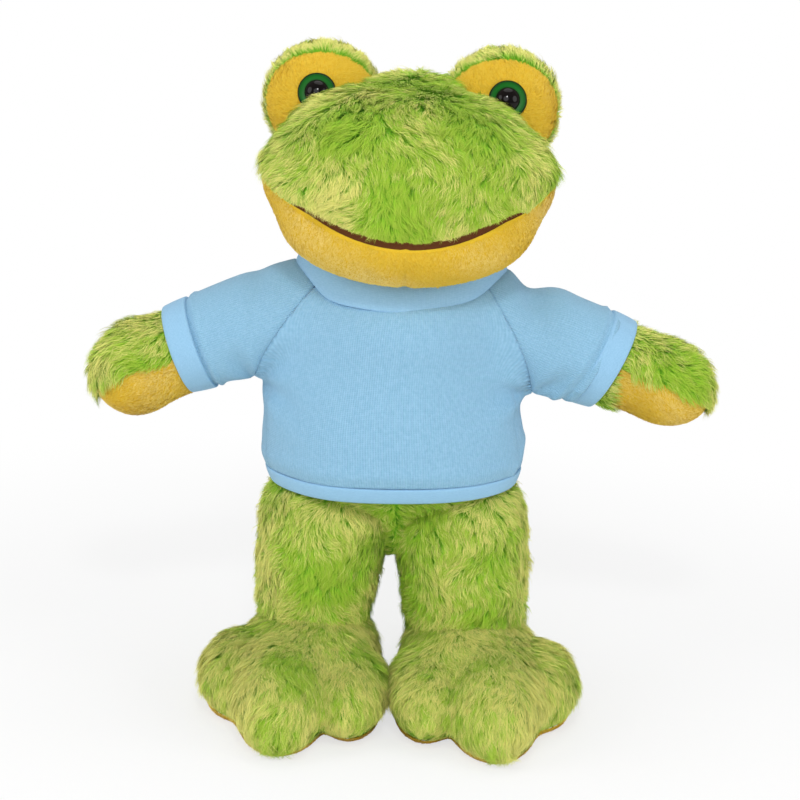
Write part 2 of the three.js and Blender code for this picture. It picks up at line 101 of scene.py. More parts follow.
def new_material(name, roughness, specular):
    """A material, its node tree and its shader."""
    material = bpy.data.materials.new(name)
    material.use_nodes = True
    tree = material.node_tree
    shader = tree.nodes["Principled BSDF"]
    wire(tree, shader, {"Roughness": roughness, "Specular IOR Level": specular})
    return material, tree, shader


def add_object(name, data):
    """A new object in the scene."""
    made = bpy.data.objects.new(name, data)
    bpy.context.scene.collection.objects.link(made)
    return made


def studio():
    scene = bpy.context.scene
    scene.view_settings.view_transform = "Standard"
    camera = add_object("camera", bpy.data.cameras.new("camera"))
    camera.data.lens = LENS
    camera.data.sensor_width = SENSOR
    camera.data.clip_start = 0.05
    back = (0, -CAMERA_DISTANCE * math.cos(CAMERA_RISE), CAMERA_DISTANCE * math.sin(CAMERA_RISE))
    place = Matrix.Translation(Vector(CAMERA_AIM) + Vector(back))
    turn = Matrix.Rotation(math.pi / 2 - CAMERA_RISE, 4, "X") @ Matrix.Rotation(CAMERA_ROLL, 4, "Z")
    camera.matrix_world = place @ turn
    scene.camera = camera

    for name, spot, width, watts in LAMPS:
        lamp = bpy.data.lights.new(name, "AREA")
        lamp.shape = "DISK"
        lamp.size = width
        lamp.energy = watts
        turn = (Vector(LAMP_AIM) - Vector(spot)).to_track_quat("-Z", "Y").to_matrix().to_4x4()
        add_object(name, lamp).matrix_world = Matrix.Translation(spot) @ turn

    world = bpy.data.worlds.new("white_room")
    scene.world = world
    world.use_nodes = True
    tree = world.node_tree
    tree.nodes.clear()
    rays = put(tree, "LightPath").outputs
    seen = worked_out(tree, "MAXIMUM", rays["Is Camera Ray"], rays["Is Transmission Ray"])
    strength = put(tree, "MapRange", {"Value": seen, "To Min": ROOM_GLOW, "To Max": 1.0})
    sky = put(tree, "Background", {"Color": (1, 1, 1, 1), "Strength": strength.outputs["Result"]})
    put(tree, "OutputWorld", {"Surface": sky.outputs["Background"]})


def floor():
    mesh = bpy.data.meshes.new("floor")
    corners = [(x * FLOOR_HALF, y * FLOOR_HALF, 0) for x, y in ((-1, -1), (1, -1), (1, 1), (-1, 1))]
    mesh.from_pydata(corners, [], [(0, 1, 2, 3)])
    material, tree, paint = new_material("pale_floor", 0.9, 0.1)
    grain = put(tree, "TexNoise", {"Scale": 40}).outputs["Fac"]
    low, high = FLOOR_SHADE
    shade = put(tree, "MapRange", {"Value": grain, "To Min": low, "To Max": high})
    wire(tree, paint, {"Base Color": shade.outputs["Result"]})

    # Seen by the camera, the floor turns to plain white away from the frog.
    place = put(tree, "NewGeometry").outputs["Position"]
    away = put(tree, "VectorMath", {0: place}, operation="LENGTH").outputs["Value"]
    near, far = FLOOR_FADE
    limits = {"Value": away, "From Min": near, "From Max": far, "To Min": FLOOR_WHITE}
    fade = put(tree, "MapRange", limits, interpolation_type="SMOOTHSTEP").outputs["Result"]
    glow = worked_out(tree, "MULTIPLY", put(tree, "LightPath").outputs["Is Camera Ray"], fade)
    white = put(tree, "Emission").outputs["Emission"]
    mix = put(tree, "MixShader", {"Fac": glow, 1: paint.outputs["BSDF"], 2: white})
    wire(tree, tree.nodes["Material Output"], {"Surface": mix.outputs["Shader"]})
    mesh.materials.append(material)
    add_object("floor", mesh)


studio()
floor()

# Head: a wide, flattened ball of long green plush whose muzzle swells forward over a smiling mouth.
# It is sewn from two upper halves and a yellow chin, turned out and stuffed firm. The smile is a strip of
# brown felt caught between them.
SOFTNESS = 9.0  # higher makes the valleys between lobes sharper
HEAD_HEART = np.array((0.0, -0.018, 0.052))  # all places on the head are measured from the neck's pivot
HEAD_LOBES = (  # x, y, z of the middle, then half sizes
    (0.0, -0.042, 0.057, 0.077, 0.050, 0.037),
    (0.0, -0.045, 0.065, 0.064, 0.038, 0.038),
    (0.0, -0.008, 0.070, 0.037, 0.042, 0.038),
    (0.0, 0.006, 0.057, 0.069, 0.047, 0.046),
    (0.0, -0.040, 0.031, 0.066, 0.045, 0.031),
    (-0.027, -0.032, 0.0730, 0.035, 0.035, 0.028),
    (0.027, -0.032, 0.0722, 0.033, 0.034, 0.026),
)
MOUTH_HALF, MOUTH_RISE, MOUTH_SMILE = 0.062, 0.0260, 0.0206
MOUTH_OPEN = 0.0048  # how much of the felt strip the cut edges leave bare
MOUTH_CORNER = 0.014  # over this length the strip narrows to the corner
MOUTH_SINK, MOUTH_ROUND = 0.0036, 0.0040  # depth and half width of the groove
MOUTH_FRONT = -0.012  # the groove and the gap lie in front of this
SEAM_GAP = 0.0001
FELT_HIDDEN = 0.0030  # seam allowance of the strip, inside the head
FELT_SUNK, FELT_BACK = 0.0004, -0.02
CHIN_BACK = 0.006
CHIN_SEAM_SINK, CHIN_SEAM_ROUND = 0.0012, 0.0015
CROWN = np.array((0.0, -0.012, 0.120))  # where the pile of the head parts
PARTING_WIDE, PARTING_TOP = 0.0011, 0.064  # the pile parts along the muzzle's seam
MOUTH_TRIM = 0.0003  # no strands stand this close to the mouth's edges
TRIM_OVER, TRIM_SHARE = 0.0120, 0.13  # the pile is trimmed this far above the mouth, down to this share
# Paler and darker spots on the muzzle's pile: painted light on the left and painted shade at the top and
# right, partly the pile's own patches.
LIT_AND_SHADED_SPOTS = (  # x, z, size, and how much paler the pile is there
    (-0.052, 0.046, 0.016, 0.34), (-0.030, 0.050, 0.014, 0.12), (0.0, 0.064, 0.026, -0.40),
    (0.010, 0.036, 0.016, -0.30), (0.040, 0.070, 0.024, -0.30), (-0.020, 0.022, 0.012, 0.22),
)
neck_pivot = pivots["head_nod"]


def unit(vectors):
    return vectors / np.maximum(np.linalg.norm(vectors, axis=-1, keepdims=True), 1e-9)


def bell(distance, width):
    """One at no distance, and close to nothing two widths away."""
    return np.exp(-((distance / width) ** 2))


def part_way(run, whole):
    """How much of a stretch is behind, from nothing to one."""
    return np.clip(run / whole, 0, 1)


def columns(*parts):
    """Rows of x, y, z from arrays or plain numbers."""
    return np.stack(np.broadcast_arrays(*parts), axis=-1).astype(float)


def way_grid(level):
    """Evenly spread directions and the triangles between them, from a subdivided icosahedron."""
    net = bmesh.new()
    bmesh.ops.create_icosphere(net, subdivisions=level, radius=1.0)
    ways = np.array([v.co[:] for v in net.verts])
    faces = np.array([[v.index for v in face.verts] for face in net.faces])
    net.free()
    return unit(ways), faces


def lobe_sum(points, lobes, grow=0.0, softness=SOFTNESS):
    """Above one inside the joined lobes, and below one outside them."""
    table = np.array(lobes)
    shares = np.linalg.norm((points[:, None, :] - table[:, :3]) / (table[:, 3:] + grow), axis=2)
    return np.exp(softness * (1 - shares)).sum(axis=1)


def edge_of_form(place, count, fullness, reach):
    """Where a form ends along each of a count of lines. Fullness is above one inside it, and place gives the
    points at some reach along the lines."""
    near, far = np.zeros(count), np.zeros(count) + reach
    for _ in range(26):
        half = (near + far) / 2
        inside = fullness(place(half)) > 1
        near, far = np.where(inside, half, near), np.where(inside, far, half)
    return place(near)


def surface(heart, ways, fullness, reach):
    """Where a form ends, each way out from the heart."""
    return edge_of_form(lambda run: heart + ways * run[:, None], len(ways), fullness, reach)


def corner_normals(points, faces):
    """Smooth outward normals at the points of a triangle net."""
    a, b, c = (points[faces[:, i]] for i in range(3))
    flat = np.cross(b - a, c - a)
    normals = np.zeros_like(points)
    for i in range(3):
        np.add.at(normals, faces[:, i], flat)
    return unit(normals)


def clipped(points, faces, values):
    """The part of a triangle net where values is above zero, cut cleanly along its zero line."""
    inside = values > 0
    count = inside[faces].sum(axis=1)
    spots, made, cut = list(points), {}, []

    def crossing(a, b):
        key = (min(a, b), max(a, b))
        if key not in made:
            share = values[a] / (values[a] - values[b])
            made[key] = len(spots)
            spots.append(points[a] + (points[b] - points[a]) * share)
        return made[key]

    for face in faces[(count == 1) | (count == 2)]:
        first = next(i for i in range(3) if inside[face[i]] and not inside[face[i - 1]])
        a, b, c = (face[(first + i) % 3] for i in range(3))
        if inside[b]:
            cut += [(a, b, crossing(b, c)), (a, crossing(b, c), crossing(c, a))]
        else:
            cut.append((a, crossing(a, b), crossing(c, a)))
    kept = np.concatenate((faces[count == 3], np.array(cut, int).reshape(-1, 3)))
    used, kept = np.unique(kept, return_inverse=True)
    return np.array(spots)[used], kept.reshape(-1, 3)


def mesh_piece(name, points, corners, starts, material):
    """A smooth-shaded object from points, the corners of all faces in a row, and where each face starts."""
    mesh = bpy.data.meshes.new(name)
    mesh.vertices.add(len(points))
    mesh.vertices.foreach_set("co", np.asarray(points, np.float32).ravel())
    mesh.loops.add(len(corners))
    mesh.loops.foreach_set("vertex_index", corners.astype(np.int32))
    mesh.polygons.add(len(starts))
    mesh.polygons.foreach_set("loop_start", starts.astype(np.int32))
    mesh.polygons.foreach_set("use_smooth", np.ones(len(starts), bool))
    mesh.update(calc_edges=True)
    mesh.materials.append(material)
    return add_object(name, mesh)


def smooth_mesh(name, points, faces, material):
    """A smooth-shaded object from arrays of points and of triangles or quads."""
    return mesh_piece(name, points, faces.ravel(), np.arange(0, faces.size, faces.shape[1]), material)


def map_places(piece, name, places):
    """A map on a piece, from a place for each corner of its faces."""
    piece.data.uv_layers.new(name=name).data.foreach_set("uv", places.astype(np.float32).ravel())


def mark_points(piece, name, values):
    """A value at each point of a piece, for its material."""
    marks = piece.data.attributes.new(name, "FLOAT", "POINT")
    marks.data.foreach_set("value", values.astype(np.float32))


def settle(piece, body, slot, *nodes):
    """A piece rides on a body in the place of CAD nodes, which are hidden; slot is not used."""
    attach(piece, body)
    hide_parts(*nodes)


def stuffed_skin(name, body, nodes, skin, cloth):
    """A sewn skin over its fill, which stands for CAD nodes. A skin is its points and faces."""
    piece = smooth_mesh(name, *skin, cloth.backing)
    settle(piece, body, cloth.slot, *nodes)


def node_group(name, inputs, outputs):
    """An empty shader node group with named sockets, and its input sockets and output node."""
    tree = bpy.data.node_groups.new(name, "ShaderNodeTree")
    for socket, kind, value in inputs:
        made = tree.interface.new_socket(socket, in_out="INPUT", socket_type="NodeSocket" + kind)
        made.default_value = value
    for socket, kind in outputs:
        tree.interface.new_socket(socket, in_out="OUTPUT", socket_type="NodeSocket" + kind)
    return tree, tree.nodes.new("NodeGroupInput").outputs, tree.nodes.new("NodeGroupOutput")


def strand_colours():
    """Colour of a strand of pile from its root to its tip, mixed towards a pale colour by its tone: partly
    the pile's own random patches, partly painted light and sheen on some pieces.
    """
    inputs = [(socket, "Color", (0, 0, 0, 1)) for socket in ("Root", "Middle", "Tip", "Faded")]
    inputs.append(("Fading", "Float", 0.5))
    tree, given, result = node_group("strand_colours", inputs, (("Color", "Color"),))
    run, tone = (put(tree, "Attribute", attribute_name=mark).outputs["Fac"] for mark in ("along", "tone"))

    def blend_between(share, first, second):
        mix = put(tree, "Mix", {"Factor": share, "A": first, "B": second}, data_type="RGBA")
        return mix.outputs["Result"]

    def ramp(value, low, high):
        limits = {"Value": value, "From Min": low, "From Max": high}
        return put(tree, "MapRange", limits, interpolation_type="SMOOTHSTEP").outputs["Result"]

    lower = blend_between(ramp(run, 0.05, 0.55), given["Root"], given["Middle"])
    whole = blend_between(ramp(run, 0.4, 0.95), lower, given["Tip"])
    # How far the strand turns pale: its tone holds random patches and, on some pieces, painted light and
    # sheen.
    paler_here = worked_out(tree, "MULTIPLY", ramp(tone, 0.25, 0.95), given["Fading"])
    worn = worked_out(tree, "MULTIPLY", paler_here, ramp(run, 0.1, 0.7))
    wire(tree, result, {"Color": blend_between(worn, whole, given["Faded"])})
    return tree


STRAND_COLOURS = strand_colours()


def pile_material(name, root, middle, tip, faded):
    material, tree, shader = new_material(name, 0.7, 0.12)
    colours = put(tree, "Group", node_tree=STRAND_COLOURS)
    ends = {"Root": root, "Middle": middle, "Tip": tip, "Faded": faded}
    wire(tree, colours, {socket: (*colour, 1) for socket, colour in ends.items()})
    wire(tree, colours, {"Fading": 1.0})
    wire(tree, shader, {"Sheen Weight": 0.06, "Base Color": colours.outputs["Color"]})
    return material


def colour_ramp(tree, share, stops):
    """The colour at a share, from stops of place and colour."""
    ramp = put(tree, "ValToRGB", {"Fac": share})
    elements = ramp.color_ramp.elements
    while len(elements) < len(stops):
        elements.new(0.5)
    for element, (place, colour) in zip(elements, stops):
        element.position = place
        element.color = (*colour, 1)
    return ramp.outputs["Color"]


def bump(tree, shader, height, strength, depth):
    normal = put(tree, "Bump", {"Strength": strength, "Distance": depth, "Height": height}).outputs["Normal"]
    wire(tree, shader, {"Normal": normal})


def backing_material(name, dark, light, scale=260.0):
    """A plain cloth of tangled fibre, such as felt or the ground that pile is knitted into."""
    material, tree, shader = new_material(name, 0.95, 0.1)
    speckle = put(tree, "TexNoise", {"Scale": scale, "Detail": 4}).outputs["Fac"]
    wire(tree, shader, {"Base Color": colour_ramp(tree, speckle, ((0.35, dark), (0.7, light)))})
    bump(tree, shader, speckle, 0.6, 0.0006)
    return material


# The last colour is the pale tone, which on the muzzle, legs, feet and arms also stands for painted light and
# sheen.
green_pile = pile_material(
    "green_pile", (0.15, 0.48, 0.018), (0.32, 0.60, 0.033), (0.45, 0.62, 0.065), (0.79, 0.77, 0.22)
)
yellow_pile = pile_material(
    "yellow_pile", (0.73, 0.46, 0.028), (0.77, 0.52, 0.040), (0.81, 0.57, 0.06), (0.95, 0.77, 0.28)
)
green_backing = backing_material("green_backing", (0.16, 0.43, 0.02), (0.27, 0.56, 0.04))
yellow_backing = backing_material("yellow_backing", (0.74, 0.46, 0.025), (0.84, 0.57, 0.045))
brown_felt = backing_material("brown_felt", (0.10, 0.032, 0.012), (0.24, 0.085, 0.03), 900.0)

# The two pile cloths: how long, wide and dense the strands are, how wide their tufts are and how hard these
# pull, how the strands rise, curl and swirl, and how the tone varies by patches and from strand to strand.
PileCloth = namedtuple("PileCloth", "slot backing strands look")
LONG_PLUSH = PileCloth("long_plush", green_backing, green_pile, {
    "length": 0.0100, "width": 0.00038, "per_m2": 2.5e6, "steps": 4, "tuft": 0.0034, "pull": 0.27,
    "rise": 0.50, "curl": 0.15, "swirl": 0.60, "patches": 0.30, "streaks": 0.22,
})
VELOUR = PileCloth("yellow_velour", yellow_backing, yellow_pile, {
    "length": 0.0020, "width": 0.00030, "per_m2": 4.6e6, "steps": 3, "tuft": 0.0020, "pull": 0.10,
    "rise": 0.42, "curl": 0.04, "swirl": 0.35, "patches": 0.14, "streaks": 0.03,
})
SWIRL_SIZE, PATCH_SIZE = 0.032, 0.045
# How far tufts and strands wander in swing, length, rise and curl, and how far strands follow their tuft
TUFT_WANDER, STRAND_WANDER, TUFT_HOLD = (0.20, 1.0, 1.0, 1.0), (0.14, 0.8, 0.8, 1.0), (1, 0.6, 0.8, 0)
STRAND_ROLL, STRAND_UNEVEN, STRAND_TAPER = 0.35, 0.25, 0.7
OFF_FLOOR = 0.0004
MOST_TRIANGLES = 190000  # in one piece of pile


def drift(points, seed, size):
    """A slow random wave over space, mostly from -1 to 1."""
    source = np.random.default_rng(seed)
    total = np.zeros(len(points))
    for _ in range(7):
        way = unit(source.normal(size=3))
        total += np.sin(points @ way * (2 * math.pi / size) + source.uniform(0, 7))
    return total / 2.6


def scattered(points, faces, per_m2, source):
    """Roots spread evenly over a triangle net, with the normals there."""
    normals = corner_normals(points, faces)
    a, b, c = (points[faces[:, i]] for i in range(3))
    areas = np.linalg.norm(np.cross(b - a, c - a), axis=1) / 2
    total = int(areas.sum() * per_m2)
    chosen = faces[source.choice(len(faces), total, p=areas / areas.sum())]
    mix = source.random((total, 2))
    mix = np.where(mix.sum(axis=1)[:, None] > 1, 1 - mix, mix)
    weights = np.column_stack((1 - mix.sum(axis=1), mix))[:, :, None]
    return (weights * points[chosen]).sum(axis=1), unit((weights * normals[chosen]).sum(axis=1))


def strand_lines(at, ups, flow, length, look, wander):
    """Points along strands: wander holds each one's swing, length, lift and curl."""
    flow = unit(flow - ups * (flow * ups).sum(axis=1)[:, None])
    side = np.cross(ups, flow)
    swing = wander[:, :1]
    flow, side = flow * np.cos(swing) + side * np.sin(swing), side * np.cos(swing) - flow * np.sin(swing)
    steps = np.linspace(0, 1, look["steps"])[None, :, None]
    rise = np.clip(look["rise"] * (1 + 0.25 * wander[:, 2]), 0.1, 0.95)[:, None, None]
    run = np.sqrt(1 - rise**2)
    curl = look["curl"] * np.sin(steps * 4.2 + wander[:, 3][:, None, None] * 3) * steps
    reach = (length * (1 + 0.2 * wander[:, 1]))[:, None, None]
    return at[:, None, :] + reach * (
        ups[:, None, :] * rise * (1.2 * steps - 0.62 * steps**2)
        + flow[:, None, :] * run * (0.45 * steps + 0.55 * steps**2)
        + side[:, None, :] * curl
    )


def full_length(at):
    return np.ones(len(at))


def no_tone_shift(at, up):
    return 0


def pile(name, body, skin, cloth, seed, comb, keep, share=full_length, fade=no_tone_shift, **changes):
    """Pile on a skin: tapered ribbons that start at the cloth and gather into tufts. comb gives the lie of
    the pile at points, keep tells which strands stay, share scales their length, fade shifts their tone
    towards the pale colour, which on some pieces is painted light and sheen, and changes are to the cloth's
    look."""
    look = dict(cloth.look, **changes)
    source = np.random.default_rng(seed)
    roots, ups = scattered(*skin, look["per_m2"], source)
    held = keep(roots)
    roots, ups = roots[held], ups[held]
    total = len(roots)
    leaders = source.choice(total, max(2, int(total / look["per_m2"] / look["tuft"] ** 2)), replace=False)
    tree = KDTree(len(leaders))
    for i, leader in enumerate(leaders):
        tree.insert(roots[leader], i)
    tree.balance()
    tuft = np.array([tree.find(root)[1] for root in roots])

    # Each strand leans from its own line to the line of its tuft's leader.
    flow = comb(roots)
    length = look["length"] * share(roots)
    turn = look["swirl"] * drift(roots, seed + 2, SWIRL_SIZE)
    lead = source.normal(size=(len(leaders), 4)) * TUFT_WANDER
    wander = source.normal(size=(total, 4)) * STRAND_WANDER + lead[tuft] * TUFT_HOLD
    wander[:, 0] += turn
    lead[:, 0] += turn[leaders]
    own = strand_lines(roots, ups, flow, length, look, wander)
    led = strand_lines(roots[leaders], ups[leaders], flow[leaders], length[leaders], look, lead)
    steps = np.linspace(0, 1, look["steps"])
    hold = look["pull"] * steps[None, :, None] ** 1.3
    lines = own * (1 - hold) + led[tuft] * hold
    lines[:, :, 2] = np.maximum(lines[:, :, 2], OFF_FLOOR)

    # Ribbons: two edges that close to a point at the tip.
    ahead = unit(np.gradient(lines, axis=1))
    across = unit(np.cross(ahead, ups[:, None, :]))
    roll = source.normal(size=(total, 1, 1)) * STRAND_ROLL
    across = across * np.cos(roll) + np.cross(across, ahead) * np.sin(roll)
    plump = 1 + STRAND_UNEVEN * source.normal(size=(total, 1, 1))
    half = look["width"] / 2 * (1 - STRAND_TAPER * steps**1.6)[None, :, None] * plump
    per = 2 * look["steps"] - 1
    spots = np.empty((total, per, 3))
    spots[:, 0:-1:2] = (lines - across * half)[:, :-1]
    spots[:, 1:-1:2] = (lines + across * half)[:, :-1]
    spots[:, -1] = lines[:, -1]

    tone = 0.5 + look["patches"] * drift(roots, seed + 1, PATCH_SIZE)
    tone += look["streaks"] * source.normal(size=total)
    tone += 0.9 * look["streaks"] * source.normal(size=len(leaders))[tuft]
    # fade adds painted light and sheen on the muzzle, legs, feet and arms, and a paler straw tone on the eye
    # bumps.
    tone = np.clip(tone + fade(roots, ups), 0.02, 0.98)
    quads = [(2 * i, 2 * i + 1, 2 * i + 3, 2 * i + 2) for i in range(look["steps"] - 2)]
    corners = np.array([c for quad in quads for c in quad] + [per - 3, per - 2, per - 1])
    starts = np.arange(len(quads) + 1) * 4
    run = np.repeat(steps, 2)[:-1]
    edge = np.array([-1, 1] * (look["steps"] - 1) + [0]) * 0.004  # the map's strands have some width
    parts = math.ceil(total * (2 * len(quads) + 1) / MOST_TRIANGLES)
    for part in range(parts):
        mine = slice(total * part // parts, total * (part + 1) // parts)
        count = mine.stop - mine.start
        base = np.arange(count)[:, None]
        loops, begins = (corners + base * per).ravel(), (starts + base * len(corners)).ravel()
        piece = mesh_piece(f"{name}_{part + 1}", spots[mine].reshape(-1, 3), loops, begins, cloth.strands)
        tones, runs = np.repeat(tone[mine], per), np.tile(run, count)
        mark_points(piece, "tone", tones)
        mark_points(piece, "along", runs)
        places = np.column_stack((np.clip(tones + np.tile(edge, count), 0, 1), runs))
        map_places(piece, "OFBake", places[loops])
        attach(piece, body)


def mouth_line(points):
    """How far above the smile's line points lie, measured from the neck's pivot."""
    return points[:, 2] - (MOUTH_RISE + MOUTH_SMILE * (points[:, 0] / MOUTH_HALF) ** 2)


def mouth_gape(points):
    """How wide the mouth's strip lies bare: it narrows only close to the corners."""
    return MOUTH_OPEN * part_way(MOUTH_HALF - abs(points[:, 0]), MOUTH_CORNER) ** 0.6


def head():
    ways, faces = way_grid(6)
    points = surface(HEAD_HEART, ways, lambda at: lobe_sum(at, HEAD_LOBES), 0.2)
    normals = corner_normals(points, faces)
    above = mouth_line(points)
    in_front = part_way(MOUTH_FRONT - points[:, 1], 0.02)
    corner_ease = part_way(MOUTH_HALF * 1.04 - abs(points[:, 0]), 0.012)
    groove = MOUTH_SINK * bell(above - MOUTH_OPEN / 2, MOUTH_ROUND) * in_front * corner_ease
    chin_seam = CHIN_SEAM_SINK * bell(points[:, 0], CHIN_SEAM_ROUND) * (above < 0)
    points = points - normals * (groove + chin_seam)[:, None]
    back = CHIN_BACK - points[:, 1]
    gape = mouth_gape(points) * in_front
    upper = clipped(points, faces, np.maximum(above - gape, -back) - SEAM_GAP)
    chin = clipped(points, faces, np.minimum(-above, back))
    strip_share = (above + FELT_HIDDEN, MOUTH_OPEN + FELT_HIDDEN - above, MOUTH_HALF - abs(points[:, 0]))
    inner = points - normals * FELT_SUNK
    strip = clipped(inner, faces, np.minimum.reduce((*strip_share, FELT_BACK - points[:, 1])))

    upper_skin, chin_skin = ((at + neck_pivot, net) for at, net in (upper, chin))
    stuffed_skin("head_upper_skin", "head", ("head_skin", "head_filling"), upper_skin, LONG_PLUSH)
    stuffed_skin("chin_velour", "head", ("chin_panel",), chin_skin, VELOUR)
    felt = smooth_mesh("mouth_strip", strip[0] + neck_pivot, strip[1], brown_felt)
    settle(felt, "head", "brown_felt", "mouth_lining")

    def muzzle_lie(at):
        local = at - neck_pivot
        low = part_way(0.085 - local[:, 2], 0.05)
        return unit(local - CROWN) + columns(local[:, 0] * 9, -0.1, -0.45 - 0.3 * low)

    def above_mouth(at):
        local = at - neck_pivot
        return (mouth_line(local) > mouth_gape(local) + MOUTH_TRIM) | (local[:, 1] > CHIN_BACK)

    def short_at_mouth(at):
        local = at - neck_pivot
        room = (mouth_line(local) - mouth_gape(local) + 0.0012) / TRIM_OVER
        parted = 1 - 0.5 * bell(local[:, 0], PARTING_WIDE) * (local[:, 2] < PARTING_TOP)
        length = np.where(local[:, 1] < -0.01, np.clip(room, TRIM_SHARE, 1) * parted, 1)
        return length * (1 + 0.06 * drift(at, 5, 0.03))

    def painted_light_on_muzzle(at, up):
        # Painted light, shade and sheen: paler on the left, darker at the top and right, and paler where the
        # pile faces sideways.
        x, _, z = (at - neck_pivot).T
        worn = sum(
            much * np.exp(-(((x - across) / wide) ** 2) - ((z - high) / wide) ** 2)
            for across, high, wide, much in LIT_AND_SHADED_SPOTS
        )
        return worn + 0.14 * abs(up[:, 0]) - 0.05

    pile(
        "head_pile", "head", upper_skin, LONG_PLUSH, 11, muzzle_lie,
        keep=above_mouth, share=short_at_mouth, fade=painted_light_on_muzzle,
    )
    pile(
        "chin_nap", "head", chin_skin, VELOUR, 12, lambda at: columns((at - neck_pivot)[:, 0] * 4, 0.2, -1.0),
        keep=lambda at: mouth_line(at - neck_pivot) < -MOUTH_TRIM,
    )


head()

# Eye bumps: two balls sewn to the top of the head, green behind and yellow in front, stuffed hard.
# Each carries a plastic safety eye: a green disc with a dark rim, a black domed pupil, a stem and a washer.
SIDES = (("left", 1), ("right", -1))
BUMP_RADIUS = 0.030
BUMP_PLACE = np.array((0.0495, 0.005, 0.0925))
PATCH_FRONT, PATCH_LEAN = 0.004, 0.010  # the seam between green and yellow leans forward at the top
BUMP_SEAM_SINK, BUMP_SEAM_ROUND = 0.0009, 0.0012
EYE_TILT, EYE_OUT = math.radians(15), math.radians(4)
EYE_RADIUS, EYE_THICK, EYE_FLAT = 0.0105, 0.0024, 0.0016
PUPIL_RADIUS, PUPIL_TALL = 0.0066, 0.0048
STEM_RADIUS, STEM_LONG = 0.002, 0.013
WASHER_RADIUS, WASHER_THICK, WASHER_BACK = 0.0065, 0.0016, 0.0055
TURNED_SIDES = 72
IRIS_COLOURS = (  # from the middle to the rim
    (0.60, (0.008, 0.085, 0.010)),
    (0.74, (0.010, 0.145, 0.015)),
    (0.86, (0.009, 0.115, 0.012)),
    (0.95, (0.002, 0.012, 0.002)),
)
PUPIL_COLOURS = ((0.0, (0.002, 0.0015, 0.002)), (1.0, (0.006, 0.003, 0.002)))
WASHER_COLOURS = ((0.0, (0.75, 0.75, 0.72)), (1.0, (0.70, 0.70, 0.68)))


def moulded_plastic(name, colours, roughness, shine):
    """Smooth moulded plastic whose colour changes from the eye's middle to its rim."""
    material, tree, shader = new_material(name, roughness, shine)
    rim = put(tree, "Attribute", attribute_name="rim").outputs["Fac"]
    wire(tree, shader, {"Base Color": colour_ramp(tree, rim, colours)})
    return material


iris_plastic = moulded_plastic("iris_plastic", IRIS_COLOURS, 0.35, 0.10)
pupil_plastic = moulded_plastic("pupil_plastic", PUPIL_COLOURS, 0.05, 0.20)
washer_plastic = moulded_plastic("washer_plastic", WASHER_COLOURS, 0.5, 0.3)


def turned(name, outline, place, material, node, slot):
    """A shape turned about the eye's axis: outline holds (radius, height) pairs, height outwards."""
    outline = np.array(outline)
    angles = np.linspace(0, 2 * math.pi, TURNED_SIDES, endpoint=False)
    points = np.concatenate([columns(r * np.cos(angles), r * np.sin(angles), h) for r, h in outline])
    starts = np.arange(len(outline) - 1) * TURNED_SIDES
    ring, side = np.meshgrid(starts, np.arange(TURNED_SIDES), indexing="ij")
    here, after = ring + side, ring + (side + 1) % TURNED_SIDES
    faces = np.stack((here, after, after + TURNED_SIDES, here + TURNED_SIDES), axis=-1).reshape(-1, 4)
    points = points @ np.array(place.to_3x3()).T + np.array(place.translation)
    piece = smooth_mesh(name, points, faces, material)
    mark_points(piece, "rim", np.repeat(outline[:, 0] / outline[:, 0].max(), TURNED_SIDES))
    settle(piece, "head", slot, node)


def eye(side, place):
    """A safety eye, whose outlines are turned about its axis."""
    rim, thick = EYE_RADIUS, EYE_THICK
    disc = (
        (0.0004, thick * 0.80),
        (rim * 0.50, thick * 0.85),
        (rim * 0.84, thick * 0.80),
        (rim * 0.88, thick * 0.92),
        (rim * 0.94, thick * 0.98),
        (rim * 0.985, thick * 0.80),
        (rim, thick * 0.45),
        (rim * 0.985, thick * 0.10),
        (rim * 0.90, 0.0),
        (STEM_RADIUS, 0.0),
        (STEM_RADIUS, -STEM_LONG * 0.97),
        (STEM_RADIUS * 0.2, -STEM_LONG),
    )
    arc = [math.radians(step * 7.5) for step in range(13)]
    dome = [(PUPIL_RADIUS * math.cos(a) + 0.00001, thick * 0.72 + PUPIL_TALL * math.sin(a)) for a in arc]
    hole, back = STEM_RADIUS * 1.2, -WASHER_BACK
    washer = (
        (hole, back),
        (WASHER_RADIUS * 0.98, back),
        (WASHER_RADIUS, back + WASHER_THICK * 0.9),
        (hole, back + WASHER_THICK),
        (hole, back),
    )
    for name, outline, material, node, slot in (
        ("eye_iris_disc", disc, iris_plastic, "eye_iris", "green_plastic"),
        ("eye_pupil_dome", dome, pupil_plastic, "eye_pupil", "black_plastic"),
        ("eye_lock_washer", washer, washer_plastic, "eye_washer", "white_plastic"),
    ):
        turned(f"{name}_{side}", outline, place, material, f"{node}_{side}", slot)


